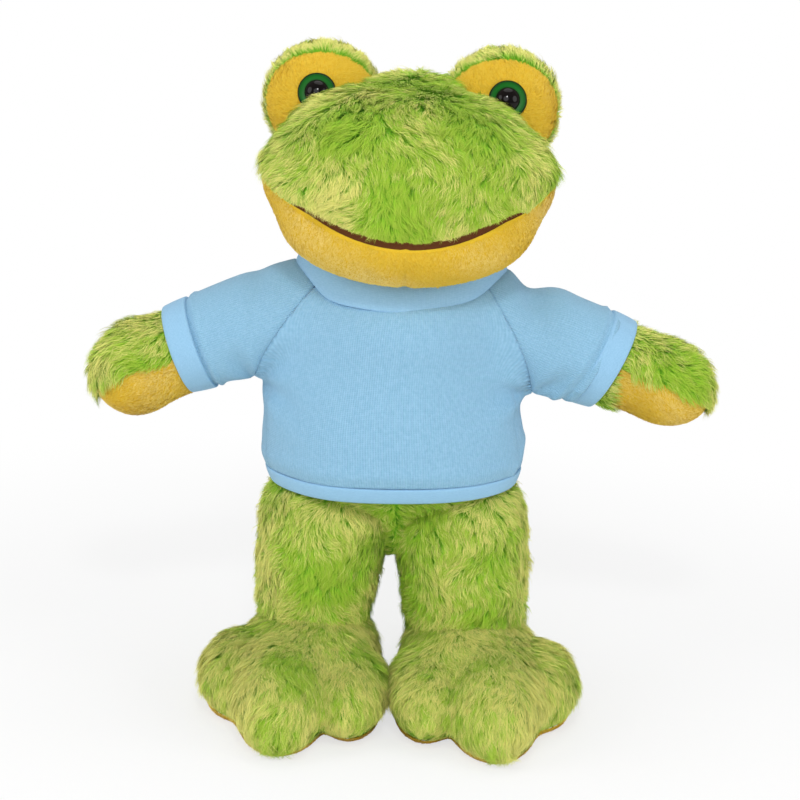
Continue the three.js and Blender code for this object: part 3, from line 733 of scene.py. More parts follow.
def eye_bump(side, sign):
    middle = neck_pivot + BUMP_PLACE * (sign, 1, 1)
    level = math.cos(EYE_TILT)
    gaze = np.array((sign * math.sin(EYE_OUT) * level, -math.cos(EYE_OUT) * level, math.sin(EYE_TILT)))
    ways, faces = way_grid(5)
    flat = BUMP_RADIUS - EYE_FLAT
    points = ways * BUMP_RADIUS
    points = points - gaze * np.clip(points @ gaze - flat, 0, None)[:, None]
    seam = PATCH_FRONT + PATCH_LEAN * part_way(points[:, 2], BUMP_RADIUS) ** 2
    front = -points[:, 1] - seam
    edge = BUMP_SEAM_SINK * bell(front, BUMP_SEAM_ROUND)
    points = points * (1 - edge / BUMP_RADIUS)[:, None]
    patch, bump_skin = (
        (at + middle, net) for at, net in (clipped(points, faces, front), clipped(points, faces, -front))
    )
    stuffed_skin(f"eye_patch_velour_{side}", "head", (f"eye_patch_{side}",), patch, VELOUR)
    nodes = (f"eye_bump_{side}", f"eye_bump_filling_{side}")
    stuffed_skin(f"eye_bump_skin_{side}", "head", nodes, bump_skin, LONG_PLUSH)

    def around(at):
        local = at - middle
        return columns(local[:, 0], 0.004, local[:, 2] + 0.006)

    def off_head(at):
        return lobe_sum(at - neck_pivot, HEAD_LOBES, -0.001) < 1

    def off_eye(at):
        local = at - middle
        radial = local - (local @ gaze)[:, None] * gaze
        return (np.linalg.norm(radial, axis=1) > EYE_RADIUS * 0.97) & off_head(at)

    pile(
        f"eye_bump_pile_{side}", "head", bump_skin, LONG_PLUSH, 21 + sign, around, keep=off_head,
        fade=lambda at, up: 0.55 + 0.5 * (1 - part_way((at - middle)[:, 1] + 0.010, 0.012)),
        length=0.0084, rise=0.56, patches=0.2,
    )
    pile(
        f"eye_patch_nap_{side}", "head", patch, VELOUR, 24 + sign, around, keep=off_eye,
        share=lambda at: 1 + 1.7 * bell(-(at - middle)[:, 1] - PATCH_FRONT, 0.006),
        fade=lambda at, up: -0.30, length=0.0022,
    )
    turn = Vector(gaze).to_track_quat("Z", "Y").to_matrix().to_4x4()
    eye(side, Matrix.Translation(middle + gaze * flat) @ turn)


for side, sign in SIDES:
    eye_bump(side, sign)

# Body: a pear of the same long plush, sewn front to back and stuffed. The shirt hides all but its lower end.
# The neck is a short stuffed ball of the yellow cloth that the head turns and nods on.
BODY_LOBES = (  # measured from the middle between the hips' pivots
    (0.0, -0.002, 0.050, 0.070, 0.050, 0.060),
    (0.0, 0.0, 0.094, 0.066, 0.043, 0.056),
    (0.0, -0.003, 0.122, 0.058, 0.043, 0.034),
)
BODY_HEART = np.array((0.0, 0.0, 0.078))
NECK_HALF = (0.047, 0.036, 0.030)  # half sizes of the stuffed neck
NECK_SEAT = 0.010
HEM_RISE, HEM_TALL = 0.028, 0.009
BELLY_SHIFT, BELLY_RISE, BELLY_SPAN = 0.0046, 0.082, 0.050  # the belly leans a little to the frog's right
BELLY_SIDE, BELLY_FADE = 0.105, 0.025  # the lean fades out towards this far from the middle
CROTCH_SEAM_SINK, CROTCH_SEAM_ROUND = 0.0016, 0.0022
CROTCH_SLIM, CROTCH_DROP, CROTCH_WIDE = 0.46, 0.009, 0.010  # below the hem it draws back and drops
HIP_FULL_RIGHT, HIP_FULL_LEFT = 0.11, 0.06  # and it is this much fuller on each side
HEM_BURY = 0.003  # the pile starts this far inside the hem
hips = pivots["hip_left"] * (0, 1, 1)
pile_top = hips[2] + HEM_RISE + HEM_BURY


def leaned(points):
    """Points of the body or the shirt moved to the side to which the belly leans."""
    near = part_way(BELLY_SIDE - abs(points[:, 0]), BELLY_FADE)
    return points - columns(BELLY_SHIFT * near * bell(points[:, 2] - BELLY_RISE, BELLY_SPAN), 0.0, 0.0)


def below_hem(at):
    """Which strands show under the shirt."""
    return at[:, 2] < pile_top


def longer_below_hem(at):
    """The hem presses the pile short."""
    return 0.4 + 0.6 * part_way(pile_top - at[:, 2], 0.006)


def body():
    ways, faces = way_grid(5)
    points = surface(BODY_HEART, ways, lambda at: lobe_sum(at, BODY_LOBES), 0.2)
    seam = CROTCH_SEAM_SINK * bell(points[:, 0], CROTCH_SEAM_ROUND) * (points[:, 2] < HEM_RISE + HEM_TALL)
    points = points - corner_normals(points, faces) * seam[:, None]
    slim = part_way(HEM_RISE + 0.004 - points[:, 2], 0.022)
    full = np.where(points[:, 0] < 0, HIP_FULL_RIGHT, HIP_FULL_LEFT)
    points = points * columns(1 + full * slim, 1 - CROTCH_SLIM * slim, 1.0)
    points = points - columns(0.0, 0.0, CROTCH_DROP * slim * bell(points[:, 0], CROTCH_WIDE))
    points, faces = clipped(points, faces, neck_pivot[2] - hips[2] - NECK_SEAT - points[:, 2])
    skin = (leaned(points) + hips, faces)
    stuffed_skin("body_plush", "torso", ("body_skin", "body_filling"), skin, LONG_PLUSH)

    def downwards(at):
        local = at - hips
        return columns(local[:, 0] * 4 + np.sign(local[:, 0]) * 0.7, local[:, 1] * 2, -1.0)

    def short_between_legs(at):
        return (0.55 + 0.3 * part_way(abs(at[:, 0]) - 0.002, 0.02)) * longer_below_hem(at)

    pile("body_pile", "torso", skin, LONG_PLUSH, 31, downwards, keep=below_hem, share=short_between_legs)

    ways, faces = way_grid(4)
    ball, faces = clipped(ways * NECK_HALF, faces, ways[:, 2] * NECK_HALF[2] + NECK_SEAT)
    stuffed_skin("neck_velour", "neck", ("neck_skin", "neck_filling"), (ball + neck_pivot, faces), VELOUR)


body()

# Legs: straight padded tubes of long plush with a rounded hip, closed by a seam at the ankle where the foot
# is sewn on.
ANKLE_HEIGHT, ANKLE_SINK, ANKLE_LEAN = 0.049, 0.012, 0.005
HIP_WIDE, HIP_DEEP = {"left": 0.034, "right": 0.0362}, 0.041
ANKLE_WIDE, ANKLE_DEEP = 0.0302, 0.035
LEG_BULGE = 0.035
THIGH_PRESS = 0.0022  # the two thighs press on each other
LEG_UNEVEN = 0.0026  # the inner sides of both legs lie a little to the frog's right
LEG_SIDES = 72


def ring_net(rings, closed=True):
    """Points and triangles of a skin lofted through equal rings, each wound left about the way they run."""
    count, sides = len(rings), len(rings[0])
    row, column = np.meshgrid(np.arange(count - 1), np.arange(sides if closed else sides - 1), indexing="ij")
    a = (row * sides + column).ravel()
    b = (row * sides + (column + 1) % sides).ravel()
    c, d = a + sides, b + sides
    return np.concatenate(rings), np.concatenate((np.column_stack((a, c, b)), np.column_stack((b, c, d))))


def leg(side, sign):
    pivot = pivots[f"hip_{side}"]
    angles = np.linspace(0, 2 * math.pi, LEG_SIDES, endpoint=False)
    inner = np.clip(-np.cos(angles) * sign, 0, 1) ** 2
    rings = []
    for rise in np.linspace(0.97, 0, 10):
        slim = math.sqrt(1 - rise**2)
        x = HIP_WIDE[side] * slim * np.cos(angles) - (sign * THIGH_PRESS + LEG_UNEVEN) * inner * slim
        rings.append(columns(x, HIP_DEEP * slim * np.sin(angles), HIP_DEEP * rise))
    for share in np.linspace(0, 1, 34)[1:]:
        bulge = 1 + LEG_BULGE * math.sin(math.pi * share)
        wide = (HIP_WIDE[side] + (ANKLE_WIDE - HIP_WIDE[side]) * share) * bulge
        deep = (HIP_DEEP + (ANKLE_DEEP - HIP_DEEP) * share) * bulge
        z = -(pivot[2] - ANKLE_HEIGHT + ANKLE_SINK) * share
        press = THIGH_PRESS * max(0.0, 1 - share * 2.6)
        x = wide * np.cos(angles) + sign * (ANKLE_LEAN * share - press * inner) - LEG_UNEVEN * inner
        rings.append(columns(x, deep * np.sin(angles), z))
    points, faces = ring_net(rings)
    skin = (points + pivot, faces)
    nodes = (f"leg_skin_{side}", f"leg_filling_{side}")
    stuffed_skin(f"leg_plush_{side}", f"leg_{side}", nodes, skin, LONG_PLUSH)

    def down_leg(at):
        local = at - pivot
        return columns(local[:, 0] * 7 + 0.35 * drift(at, 40 + sign, 0.05), local[:, 1] * 4, -1.0)

    pile(
        f"leg_pile_{side}", f"leg_{side}", skin, LONG_PLUSH, 42 + sign, down_leg,
        keep=below_hem, share=longer_below_hem,
        # Paler where the pile faces out to the side: painted sheen.
        fade=lambda at, up: 0.42 * np.clip(up[:, 0] * sign, 0, 1) ** 2 - 0.06,
    )


for side, sign in SIDES:
    leg(side, sign)

# Feet: broad, with three puffy toes, long plush above and a flat yellow sole below. Each is stuffed through
# the ankle before the leg is sewn on.
SOLE_THICK, SOLE_PROUD = 0.0045, 0.0026
FOOT_HEART = np.array((0.010, -0.040, 0.016))
MIDDLE_TOE = 0.019  # how far out it lies
FOOT_LOBES = (  # measured from the leg's middle, x outwards, y back, z from the floor
    (0.006, -0.014, 0.024, 0.038, 0.057, 0.029),
    (MIDDLE_TOE, -0.062, 0.018, 0.028, 0.054, 0.029),
    (0.043, -0.036, 0.017, 0.025, 0.041, 0.023),
    (-0.0175, -0.053, 0.017, 0.022, 0.046, 0.022),
)
FOOT_SOFTNESS, FOOT_SLIM = 9.5, -0.0010
TOE_LONG = {"left": 1.04, "right": 1.07}
TOE_ROOT = -0.05  # in front of this the toes are drawn longer
TOE_SEAM_SINK, TOE_SEAM_ROUND = 0.0016, 0.0018
TOP_OF_FOOT = (0, 0, 0.055)


def foot(side, sign):
    place, leg_name = pivots[f"hip_{side}"] * (1, 1, 0), f"leg_{side}"
    ways, faces = way_grid(6)
    points = surface(FOOT_HEART, ways, lambda at: lobe_sum(at, FOOT_LOBES, FOOT_SLIM, FOOT_SOFTNESS), 0.15)
    on_top = part_way(-0.045 - points[:, 1], 0.02) * (points[:, 2] > SOLE_THICK)
    seam = TOE_SEAM_SINK * bell(points[:, 0] - MIDDLE_TOE, TOE_SEAM_ROUND) * on_top
    points = points - corner_normals(points, faces) * seam[:, None]
    y = points[:, 1]
    points[:, 1] = np.where(y < TOE_ROOT, TOE_ROOT + (y - TOE_ROOT) * TOE_LONG[side], y)
    points = points * (sign, 1, 1)
    if sign < 0:
        faces = faces[:, ::-1]
    upper = clipped(points, faces, points[:, 2] - SOLE_THICK)
    skin = (upper[0] + place, upper[1])
    nodes = (f"foot_skin_{side}", f"foot_filling_{side}")
    stuffed_skin(f"foot_plush_{side}", leg_name, nodes, skin, LONG_PLUSH)

    outward = unit((points - FOOT_HEART * (sign, 1, 1)) * (1, 1, 0))
    edge = part_way(points[:, 2], SOLE_THICK + 0.0004)
    flat = points + outward * (SOLE_PROUD * np.sqrt(1 - edge**4))[:, None]
    flat[:, 2] = np.maximum(points[:, 2], 0.0)
    sole_points, sole_faces = clipped(flat, faces, SOLE_THICK + 0.0005 - flat[:, 2])
    sole_skin = (sole_points + place, sole_faces)
    sole = smooth_mesh(f"foot_sole_velour_{side}", *sole_skin, VELOUR.backing)
    settle(sole, leg_name, VELOUR.slot, f"foot_sole_{side}")

    def over_toes(at):
        away = unit((at - place - TOP_OF_FOOT) * (1.2, 1.0, 1.0))
        return away + columns(0.25 * drift(at, 50 + sign, 0.05), -0.35, -0.55)

    def shorter_low(at):
        local = (at - place) * (sign, 1, 1)
        middle_toe = bell(local[:, 0] - MIDDLE_TOE, 0.020) * (local[:, 1] < -0.06)
        low = 1 - part_way(local[:, 2] - SOLE_THICK, 0.018)
        return 1 - (0.92 - 0.92 * middle_toe) * low**0.8

    pile(
        f"foot_pile_{side}", leg_name, skin, LONG_PLUSH, 52 + sign, over_toes,
        keep=lambda at: at[:, 2] > SOLE_THICK + 0.0008, share=shorter_low,
        # Paler where the pile faces out to the side: painted sheen, over an evenly paler tone.
        fade=lambda at, up: 0.30 * np.clip(up[:, 0] * sign, 0, 1) ** 2 + 0.22,
        rise=0.34, pull=0.14, swirl=0.36, per_m2=3.4e6,
    )
    pile(
        f"foot_sole_nap_{side}", leg_name, sole_skin, VELOUR, 55 + sign,
        lambda at: columns((at - place)[:, 0], (at - place)[:, 1] + 0.04, -0.01),
        keep=lambda at: at[:, 2] > 0.001, length=0.0016,
    )


for side, sign in SIDES:
    foot(side, sign)

# Arms: short blunt tubes of plush, green on the back and top, with a yellow palm along the lower front.
# They are stuffed firm and sewn into the body's side seams, so they stand out from the shoulders.
ARM_HEART = np.array((0.044, -0.004, 0.0))
ARM_LOBES = (  # measured along the arm from the shoulder's pivot
    (0.032, -0.004, 0.0, 0.060, 0.0232, 0.0236),
    (0.072, -0.008, 0.002, 0.027, 0.024, 0.0225),
)
PAW_DROP = {"left": 0.0015, "right": 0.0042}  # how far the paws hang below the line of the arm
PAW_TALL = {"left": 1.0, "right": 1.12}
ARM_DROOP = math.radians(20.4)
ARM_UNEVEN = math.radians(0.6)  # one arm hangs a little lower than the other
PALM_START, PALM_SLANT = {"left": 0.0405, "right": 0.030}, 0.36
PALM_EDGE = {"left": 0.0062, "right": 0.0082}
PALM_TURN = math.radians(20)
PALM_SEAM_SINK, PALM_SEAM_ROUND = 0.0008, 0.0012
SLEEVE_SQUEEZE = 0.22  # the sleeve presses the arm thinner
CUFF_START = {"left": 0.0268, "right": 0.0342}
CUFF_LONG = 0.0148
CUFF_SLANT = {"left": 0.0034, "right": 0.0002}  # how far the cuffs lean out at the top
CUFF_HALF = 0.028
CUFF_COVERS = 0.7  # the arm's pile starts at this share of the cuff


def arm_turn(sign):
    """Turns places measured along the arm into the frog's lie."""
    droop = ARM_DROOP - sign * ARM_UNEVEN
    cos, sin = math.cos(droop), math.sin(droop)
    return np.array(((sign * cos, 0, sin * sign), (0, 1, 0), (-sin, 0, cos)))


def arm(side, sign):
    pivot, turn, arm_name = pivots[f"shoulder_{side}"], arm_turn(sign), f"arm_{side}"
    ways, faces = way_grid(5)
    local = surface(ARM_HEART, ways, lambda at: lobe_sum(at, ARM_LOBES), 0.1)
    local[:, 2] -= PAW_DROP[side] * part_way(local[:, 0] - CUFF_START[side], 0.05) ** 1.5
    local[:, 2] *= 1 + (PAW_TALL[side] - 1) * part_way(local[:, 0] - 0.04, 0.03)
    in_sleeve = part_way(CUFF_START[side] + CUFF_LONG * 0.3 - local[:, 0], 0.010)
    local[:, 1:] *= (1 - SLEEVE_SQUEEZE * in_sleeve)[:, None]
    down = -local[:, 2] * math.cos(PALM_TURN) - local[:, 1] * math.sin(PALM_TURN)
    palm_run = local[:, 0] - PALM_START[side] + PALM_SLANT * local[:, 2]
    palm_share = np.minimum(down - PALM_EDGE[side], palm_run)
    seam = PALM_SEAM_SINK * bell(palm_share, PALM_SEAM_ROUND)
    local = local - corner_normals(local, faces) * seam[:, None]
    if sign < 0:
        faces = faces[:, ::-1]
    palm, back = (
        (at @ turn.T + pivot, net)
        for at, net in (clipped(local, faces, palm_share), clipped(local, faces, -palm_share))
    )
    nodes = (f"arm_skin_{side}", f"arm_filling_{side}")
    stuffed_skin(f"arm_plush_{side}", arm_name, nodes, back, LONG_PLUSH)
    stuffed_skin(f"arm_palm_velour_{side}", arm_name, (f"arm_palm_{side}",), palm, VELOUR)
    outward = turn @ np.array((1.0, 0, 0))

    def along_arm(at):
        return np.tile(outward * 0.8 + np.array((0, -0.15, -0.35)), (len(at), 1))

    def past_cuff(at):
        return (at - pivot) @ outward > CUFF_START[side] + CUFF_LONG * CUFF_COVERS

    def short_by_cuff(at):
        run = (at - pivot) @ outward
        return 0.55 + 0.40 * part_way(run - CUFF_START[side] - CUFF_LONG * CUFF_COVERS, 0.012)

    pile(
        f"arm_pile_{side}", arm_name, back, LONG_PLUSH, 62 + sign, along_arm,
        keep=past_cuff, share=short_by_cuff,
        # Paler where the pile faces up and out towards the paw: painted light on top and painted sheen at the
        # end.
        fade=lambda at, up: 0.35 * np.clip(up[:, 2], 0, 1) + 0.35 * np.clip(up @ outward, 0, 1) ** 2 - 0.10,
    )
    pile(f"arm_palm_nap_{side}", arm_name, palm, VELOUR, 65 + sign, along_arm, keep=past_cuff)


for side, sign in SIDES:
    arm(side, sign)

# Shirt: a raglan T-shirt of fine light-blue jersey, cut from a front, a back and two sleeves that run up to
# the neck, with a doubled neckband, turned-up cuffs and a narrow doubled hem.
SHIRT_EASE = 0.0027  # air between the body and the shirt
SHIRT_TOP = 0.152
KNIT_THICK, BAND_THICK = 0.0018, 0.0026
NECK_MIDDLE = np.array((-0.0015, -0.003))
NECK_WIDE, NECK_DEEP, NECK_RISE = 0.0592, 0.0448, 0.115
NECK_SQUARE = 1.86  # how square the neck opening is seen from above, where 2 is an ellipse
NECKBAND_TALL, NECKBAND_LEAN = 0.012, 0.0060  # it leans in
NECKBAND_FRONT, NECKBAND_CORNER = 0.0055, 0.0040  # and stands higher in front and at its corners
HEM_TILT, HEM_TILT_SPAN = 0.028, 0.03  # the hem hangs a little lower on the frog's right
RAGLAN_TOP = (0.0486, 0.1456)  # x, and height above the hips
RAGLAN_FOOT = (0.0764, 0.0937)
RAGLAN_BOW = 0.0031
SLEEVE_LOBES = {  # measured along the arm
    "left": ((0.0, -0.004, -0.0004, 0.100, 0.0296, 0.0292),),
    "right": ((0.0, -0.004, 0.0012, 0.100, 0.0288, 0.0284),),
}
SLEEVE_MIDDLE, SLEEVE_RISE = -0.004, 0.116
CUFF_INSET = 0.004  # the sleeve runs this far under the cuff
SEAM_DEEP, SEAM_WIDE = 0.0010, 0.0016
NECK_SEAM_DEEP, NECK_SEAM_WIDE = 0.0013, 0.0011
UNDERARM = (0.078, 0.086)
CREASE_DEEP, CREASE_AWAY, CREASE_SPAN = 0.0014, 0.016, 0.012  # creases fan out from the underarm
RIPPLE_DEEP, RIPPLE_SIZE, RIPPLE_SEED = 0.0008, 0.055, 71
HEM_TUCK, HEM_PUFF, HEM_PUFF_SPAN = 0.0016, 0.0011, 0.005  # the cloth tucks under the hem and puffs above it
FOLD_ACROSS, FOLD_UP, FOLD_DEEP = 0.0735, 0.1435, 0.0050  # the fold where the left shoulder meets the neck
FOLD_SLANT, FOLD_WIDE, FOLD_LEAST = 0.22, 0.0085, 0.0008
FOLD_BANK = (0.0010, 0.017, 0.007)  # the swelling beside it: height, how far out, width
FAINT_FOLD = (0.0011, -0.080, 0.14, 0.2, 0.006)  # the right shoulder's: depth, across, up, slant, width
LEFT_FOLD_FROM, RIGHT_FOLD_FROM = 0.09, 0.10  # the folds lie above these heights
CUFF_RIDGE, CUFF_DIP = (0.0010, 0.0045, 0.0016), (-0.0012, 0.0006, 0.0014)  # height, how far before it, width
DEEPEST, DEEPER_HIGH = 0.0024, 0.006  # how far the cloth may sink in, and how much more at the shoulders
HEM_GIRTH, NECK_GIRTH, CUFF_GIRTH = 0.41, 0.32, 0.185
BAND_FOLD, BAND_PUFF = 0.35, 0.06  # the fold's height by the band's thickness, and how full its middle is


def knit_wales():
    """Fine upright wales and the rows of loops across them, as a height and a colour tone that is painted
    shade, darker in the dips between loops, with the yarn's own fuzz mixed in.
    """
    tree, given, result = node_group(
        "knit_wales",
        (("Wales per metre", "Float", 770.0), ("Rows per metre", "Float", 1000.0)),
        (("Height", "Float"), ("Shade", "Float")),
    )
    cloth = put(tree, "UVMap", uv_map="cloth").outputs["UV"]
    parts = put(tree, "SeparateXYZ", {0: cloth}).outputs

    def wave(value, rate):
        count = worked_out(tree, "MULTIPLY", value, rate)
        return worked_out(tree, "COSINE", worked_out(tree, "MULTIPLY", count, 2 * math.pi))

    wale = wave(parts["X"], given["Wales per metre"])
    row = wave(parts["Y"], given["Rows per metre"])
    loops = worked_out(tree, "MULTIPLY_ADD", row, 0.35, wale)
    fuzz = put(tree, "TexNoise", {"Scale": 60, "Detail": 6}).outputs["Fac"]
    wire(tree, result, {"Height": loops, "Shade": worked_out(tree, "MULTIPLY_ADD", loops, 0.10, fuzz)})
    return tree


KNIT_WALES = knit_wales()


def knit_material(name, dark, light, depth, wales, rows):
    material, tree, shader = new_material(name, 0.85, 0.2)
    knit = put(tree, "Group", node_tree=KNIT_WALES)
    wire(tree, knit, {"Wales per metre": wales, "Rows per metre": rows})
    # The knit is darker in the dips between its loops: painted shade, over the yarn's own mottling.
    colour = colour_ramp(tree, knit.outputs["Shade"], ((0.3, dark), (0.75, light)))
    wire(tree, shader, {"Sheen Weight": 0.15, "Base Color": colour})
    bump(tree, shader, knit.outputs["Height"], 0.5, depth)
    return material


shirt_knit = knit_material("shirt_knit", (0.22, 0.435, 0.61), (0.285, 0.51, 0.70), 0.0002, 770.0, 1000.0)
shirt_band = knit_material("shirt_band", (0.26, 0.49, 0.70), (0.32, 0.56, 0.78), 0.00012, 1200.0, 1400.0)


def raglan_line(rise):
    """How far from the middle the raglan seam runs, at heights above the hips."""
    share = (rise - RAGLAN_FOOT[1]) / (RAGLAN_TOP[1] - RAGLAN_FOOT[1])
    bow = 4 * RAGLAN_BOW * share * (1 - share)
    return RAGLAN_FOOT[0] + (RAGLAN_TOP[0] - RAGLAN_FOOT[0]) * share + bow


def outside_neck(points):
    """How far outside the neck's opening points lie, where they are high enough to meet it."""
    across = abs(points[:, :2] - NECK_MIDDLE) / (NECK_WIDE, NECK_DEEP)
    share = (across**NECK_SQUARE).sum(axis=1) ** (1 / NECK_SQUARE)
    return np.where(points[:, 2] > NECK_RISE, (share - 1) * NECK_DEEP + 0.0006, 1.0)


def from_shoulder(points, side, sign):
    """Points of the shirt, measured along the arm from the shoulder's pivot."""
    return (points + hips - pivots[f"shoulder_{side}"]) @ arm_turn(sign)


def shirt_fullness(points):
    """Above one inside the shirt's outer face, at points measured from the middle between the hips."""
    total = lobe_sum(points, BODY_LOBES, SHIRT_EASE + KNIT_THICK)
    for side, sign in SIDES:
        total = total + lobe_sum(from_shoulder(points, side, sign), SLEEVE_LOBES[side])
    return total


def outward(points):
    """The way out of the shirt at points on it."""
    here = np.log(shirt_fullness(points))
    moves = np.eye(3) * 0.00001
    return unit(np.column_stack([here - np.log(shirt_fullness(points + move)) for move in moves]))


def ripples(points):
    """How far the cloth stands out at its slow, shallow waves."""
    return RIPPLE_DEEP * drift(points * (1, 1, 0.5), RIPPLE_SEED, RIPPLE_SIZE)


def hung(points):
    """Points of the shirt moved with the belly, and its hem tilted."""
    lift = HEM_TILT * points[:, 0] * bell(points[:, 2] - HEM_RISE, HEM_TILT_SPAN)
    return leaned(points) + columns(0.0, 0.0, lift)


def worn(points):
    """Points of the cloth moved to where wear leaves them: sunk at the seams, creased at the underarms."""
    x, y, z = points.T
    across, up = abs(x) - UNDERARM[0], z - UNDERARM[1]
    fan = np.sin(5.0 * np.arctan2(up, across) + 0.8 + 0.9 * np.sign(x))
    creases = CREASE_DEEP * fan * bell(np.hypot(across, up) - CREASE_AWAY, CREASE_SPAN)
    seam = -SEAM_DEEP * bell(abs(x) - raglan_line(z), SEAM_WIDE) * (z > UNDERARM[1] - 0.008)
    neck_seam = -NECK_SEAM_DEEP * bell(outside_neck(points), NECK_SEAM_WIDE)
    hem_top = HEM_RISE + HEM_TALL
    tuck = -HEM_TUCK * part_way(hem_top + 0.0006 - z, 0.0012)
    over_hem = HEM_PUFF * bell(z - hem_top - 0.007, HEM_PUFF_SPAN)
    from_fold = x - FOLD_ACROSS - FOLD_SLANT * (FOLD_UP - z)
    high = part_way(z - FOLD_UP + 0.036, 0.034) ** 1.5
    shoulder = -(FOLD_LEAST + FOLD_DEEP * high) * bell(from_fold, FOLD_WIDE) * (z > LEFT_FOLD_FROM)
    height, out, wide = FOLD_BANK
    shoulder += height * bell(from_fold - out, wide) * (z > LEFT_FOLD_FROM)
    deep, over, top, slant, wide = FAINT_FOLD
    shoulder -= deep * bell(x - over - slant * (top - z), wide) * (z > RIGHT_FOLD_FROM)
    sleeve_end = 0.0
    for side, sign in SIDES:
        local = from_shoulder(points, side, sign)
        run = local[:, 0] - CUFF_SLANT[side] * local[:, 2] / CUFF_HALF
        ridge, dip = (
            height * bell(run - CUFF_START[side] + before, wide)
            for height, before, wide in (CUFF_RIDGE, CUFF_DIP)
        )
        sleeve_end = sleeve_end + ridge + dip
    depth = creases + seam + neck_seam + ripples(points) + tuck + over_hem + shoulder + sleeve_end
    depth = np.maximum(depth, -DEEPEST - DEEPER_HIGH * part_way(z - 0.10, 0.03))
    return hung(points + outward(points) * depth[:, None])


def cloth_piece(name, points, faces, spots, material, wrap=None, thick=KNIT_THICK):
    """A piece of knitted cloth with a map in metres, for its wales, from spots on the flat cut."""
    piece = smooth_mesh(name, points, faces, material)
    places = spots[faces]
    if wrap:
        across = places[:, :, 0]
        split = across.max(axis=1) - across.min(axis=1) > wrap / 2
        across[split[:, None] & (across < 0)] += wrap
    map_places(piece, "cloth", places)
    if thick:
        body_of_cloth = piece.modifiers.new("cloth", "SOLIDIFY")
        body_of_cloth.thickness = thick
        body_of_cloth.offset = -1
    return piece


def band(name, body_name, node, ring_at, tall, around):
    """A doubled band with a rounded fold at each edge, from rings placed by how far out and down they lie."""
    fold, half = BAND_THICK * BAND_FOLD, BAND_THICK / 2
    bends = np.linspace(0, math.pi, 6)
    runs = np.linspace(0, 1, 8)[1:-1]
    profile = [(half - half * math.cos(a), fold - fold * math.sin(a)) for a in bends]
    full = [2 * half * (1 + BAND_PUFF * math.sin(math.pi * s)) for s in runs]
    profile += [(out, fold + (tall - 2 * fold) * s) for out, s in zip(full, runs)]
    profile += [(half + half * math.cos(a), tall - fold + fold * math.sin(a)) for a in bends]
    profile += [(0.0, tall - fold - (tall - 2 * fold) * s) for s in runs]
    profile += profile[:1]
    rings = [ring_at(out, down) for out, down in profile]
    points, faces = ring_net(rings)
    lengths = np.linalg.norm(np.diff(np.array(profile), axis=0), axis=1)
    down = np.repeat(np.concatenate(([0], np.cumsum(lengths))), len(rings[0]))
    turn = (np.arange(len(rings[0])) / len(rings[0]) - 0.5) * around
    spots = np.column_stack((np.tile(turn, len(rings)), -down))
    piece = cloth_piece(name, points, faces, spots, shirt_band, wrap=around, thick=0)
    settle(piece, body_name, "shirt_rib", node)
    return piece


def shirt_body():
    angles = np.linspace(0, 2 * math.pi, 241)
    rises = np.linspace(HEM_RISE + HEM_TALL * 0.5, SHIRT_TOP, 150)
    rise, angle = (grid.ravel() for grid in np.meshgrid(rises[::-1], angles, indexing="ij"))
    ways = columns(np.cos(angle), np.sin(angle), 0.0)
    reach = np.minimum(0.12, (raglan_line(rise) + 0.004) / np.maximum(abs(ways[:, 0]), 0.01))
    points = surface(columns(0.0, 0.0, rise), ways, shirt_fullness, reach)
    rows = points.reshape(len(rises), len(angles), 3)
    faces = ring_net(list(rows), closed=False)[1]
    girth = rows[len(rises) // 2]
    arcs = np.concatenate(([0], np.cumsum(np.linalg.norm(np.diff(girth, axis=0), axis=1))))
    inside = np.minimum(raglan_line(points[:, 2]) - abs(points[:, 0]), outside_neck(points))
    turn = angles[:-1]

    def hem_ring(out, down):
        level = np.full(len(turn), HEM_RISE + HEM_TALL - down)
        way = columns(np.cos(turn), np.sin(turn), 0.0)
        at = surface(level[:, None] * (0, 0, 1), way, lambda p: lobe_sum(p, BODY_LOBES, SHIRT_EASE), 0.12)
        return hung(at + way * (out + ripples(at))[:, None]) + hips

    bent = [np.sign(share) * abs(share) ** (2 / NECK_SQUARE) for share in (np.cos(turn), np.sin(turn))]
    x, y = NECK_WIDE * bent[0], NECK_DEEP * bent[1]
    below = columns(x + NECK_MIDDLE[0], y + NECK_MIDDLE[1], 0.11)
    neck_rises = surface(below, columns(0 * turn, 0.0, 1.0), shirt_fullness, 0.07)[:, 2]

    def neck_ring(out, down):
        share = 1 - down / NECKBAND_TALL
        grow = out - BAND_THICK * 0.85 - NECKBAND_LEAN * max(share, 0) ** 1.2
        front = np.clip(-np.sin(turn), 0, 1)
        corner = (2 * front * np.cos(turn)) ** 2
        tall = NECKBAND_TALL + NECKBAND_FRONT * front**0.6 + NECKBAND_CORNER * corner
        rise = neck_rises - 0.0012 + tall * share
        at = columns(x * (1 + grow / NECK_WIDE), y * (1 + grow / NECK_DEEP), rise)
        return hung(at + (*NECK_MIDDLE, 0)) + hips

    hem = band("shirt_hem", "torso", "shirt_hem_band", hem_ring, HEM_TALL, HEM_GIRTH)
    neckband = band("shirt_neck_rib", "torso", "shirt_neckband", neck_ring, NECKBAND_TALL, NECK_GIRTH)
    for name, node, facing, trims in (
        ("shirt_front_panel", "shirt_front", -1, [hem, neckband]),
        ("shirt_back_panel", "shirt_back", 1, []),
    ):
        cut, net = clipped(points, faces, np.minimum(inside, points[:, 1] * facing))
        turned_by = np.arctan2(cut[:, 1], cut[:, 0]) % (2 * math.pi)
        turned_by = np.where((facing < 0) & (turned_by < 1), 2 * math.pi, turned_by)
        spots = np.column_stack((np.interp(turned_by, angles, arcs), cut[:, 2]))
        piece = cloth_piece(name, worn(cut) + hips, net, spots, shirt_knit)
        settle(piece, "torso", "shirt_knit", node)


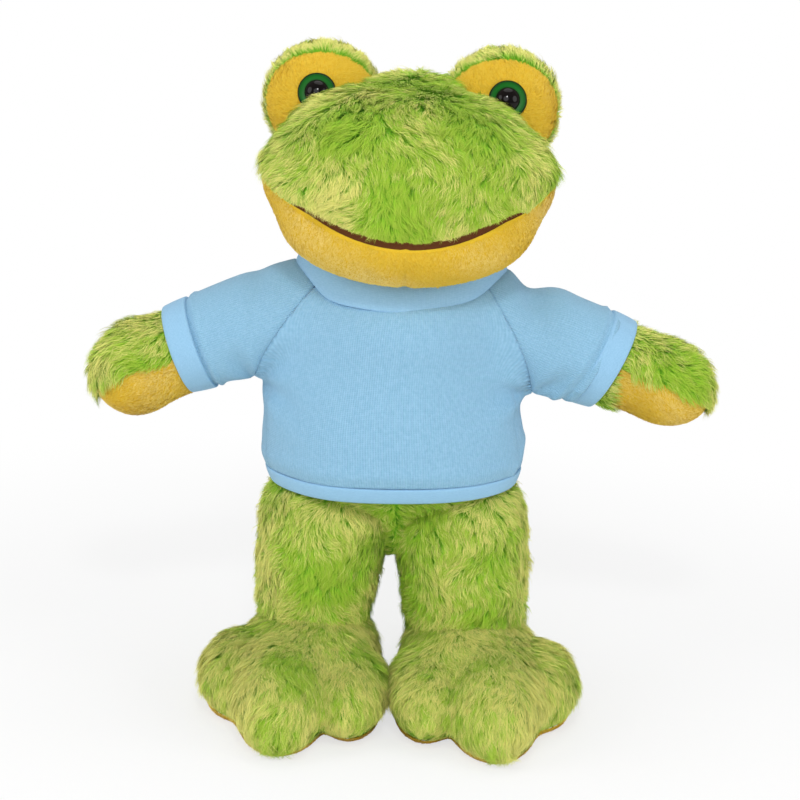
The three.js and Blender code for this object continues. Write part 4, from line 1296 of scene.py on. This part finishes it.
def sleeve(side, sign):
    pivot, turn, arm_name = pivots[f"shoulder_{side}"], arm_turn(sign), f"arm_{side}"
    turns = np.linspace(0, 2 * math.pi, 96, endpoint=False)  # from the top, over the front, to the underarm

    def first_ring(reach):
        z = SLEEVE_RISE + reach * np.cos(turns)
        return columns(sign * raglan_line(z), SLEEVE_MIDDLE - reach * np.sin(turns), z)

    def along_arm(run):
        return np.array((run, SLEEVE_MIDDLE, 0.0)) @ turn.T + pivot - hips

    first = edge_of_form(first_ring, len(turns), shirt_fullness, 0.07)
    middle = first_ring(np.zeros(len(turns)))[0]
    cuff_middle = along_arm(CUFF_START[side] + CUFF_INSET)
    slant = CUFF_SLANT[side] / CUFF_HALF
    ways = unit(columns(slant * np.cos(turns), -np.sin(turns), np.cos(turns)) @ turn.T)
    last = surface(cuff_middle, ways, shirt_fullness, 0.05)
    rings = []
    for share in np.linspace(0, 1, 44):
        heart = middle * (1 - share) + cuff_middle * share
        guess = first * (1 - share) + last * share
        rings.append(surface(heart, unit(guess - heart), shirt_fullness, 0.07))
    rings[0] = first
    points, faces = ring_net(rings)
    if sign > 0:
        faces = faces[:, ::-1]
    points, faces = clipped(points, faces, outside_neck(points))
    local = from_shoulder(points, side, sign)
    around = np.arctan2(SLEEVE_MIDDLE - local[:, 1], local[:, 2])
    radius = SLEEVE_LOBES[side][0][4]
    spots = np.column_stack((around * radius, local[:, 0]))
    name = f"shirt_sleeve_cloth_{side}"
    piece = cloth_piece(name, worn(points) + hips, faces, spots, shirt_knit, 2 * math.pi * radius)
    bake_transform(piece)
    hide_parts(f"shirt_sleeve_{side}")

    def cuff_ring(out, down):
        ring = surface(along_arm(CUFF_START[side] + down), ways, shirt_fullness, 0.05)
        grow = out - BAND_THICK * 0.8 + 0.0004 * (down / CUFF_LONG)
        return ring + ways * grow + hips

    cuff = band(f"shirt_cuff_band_{side}", arm_name, f"shirt_cuff_{side}", cuff_ring, CUFF_LONG, CUFF_GIRTH)


shirt_body()
for side, sign in SIDES:
    sleeve(side, sign)
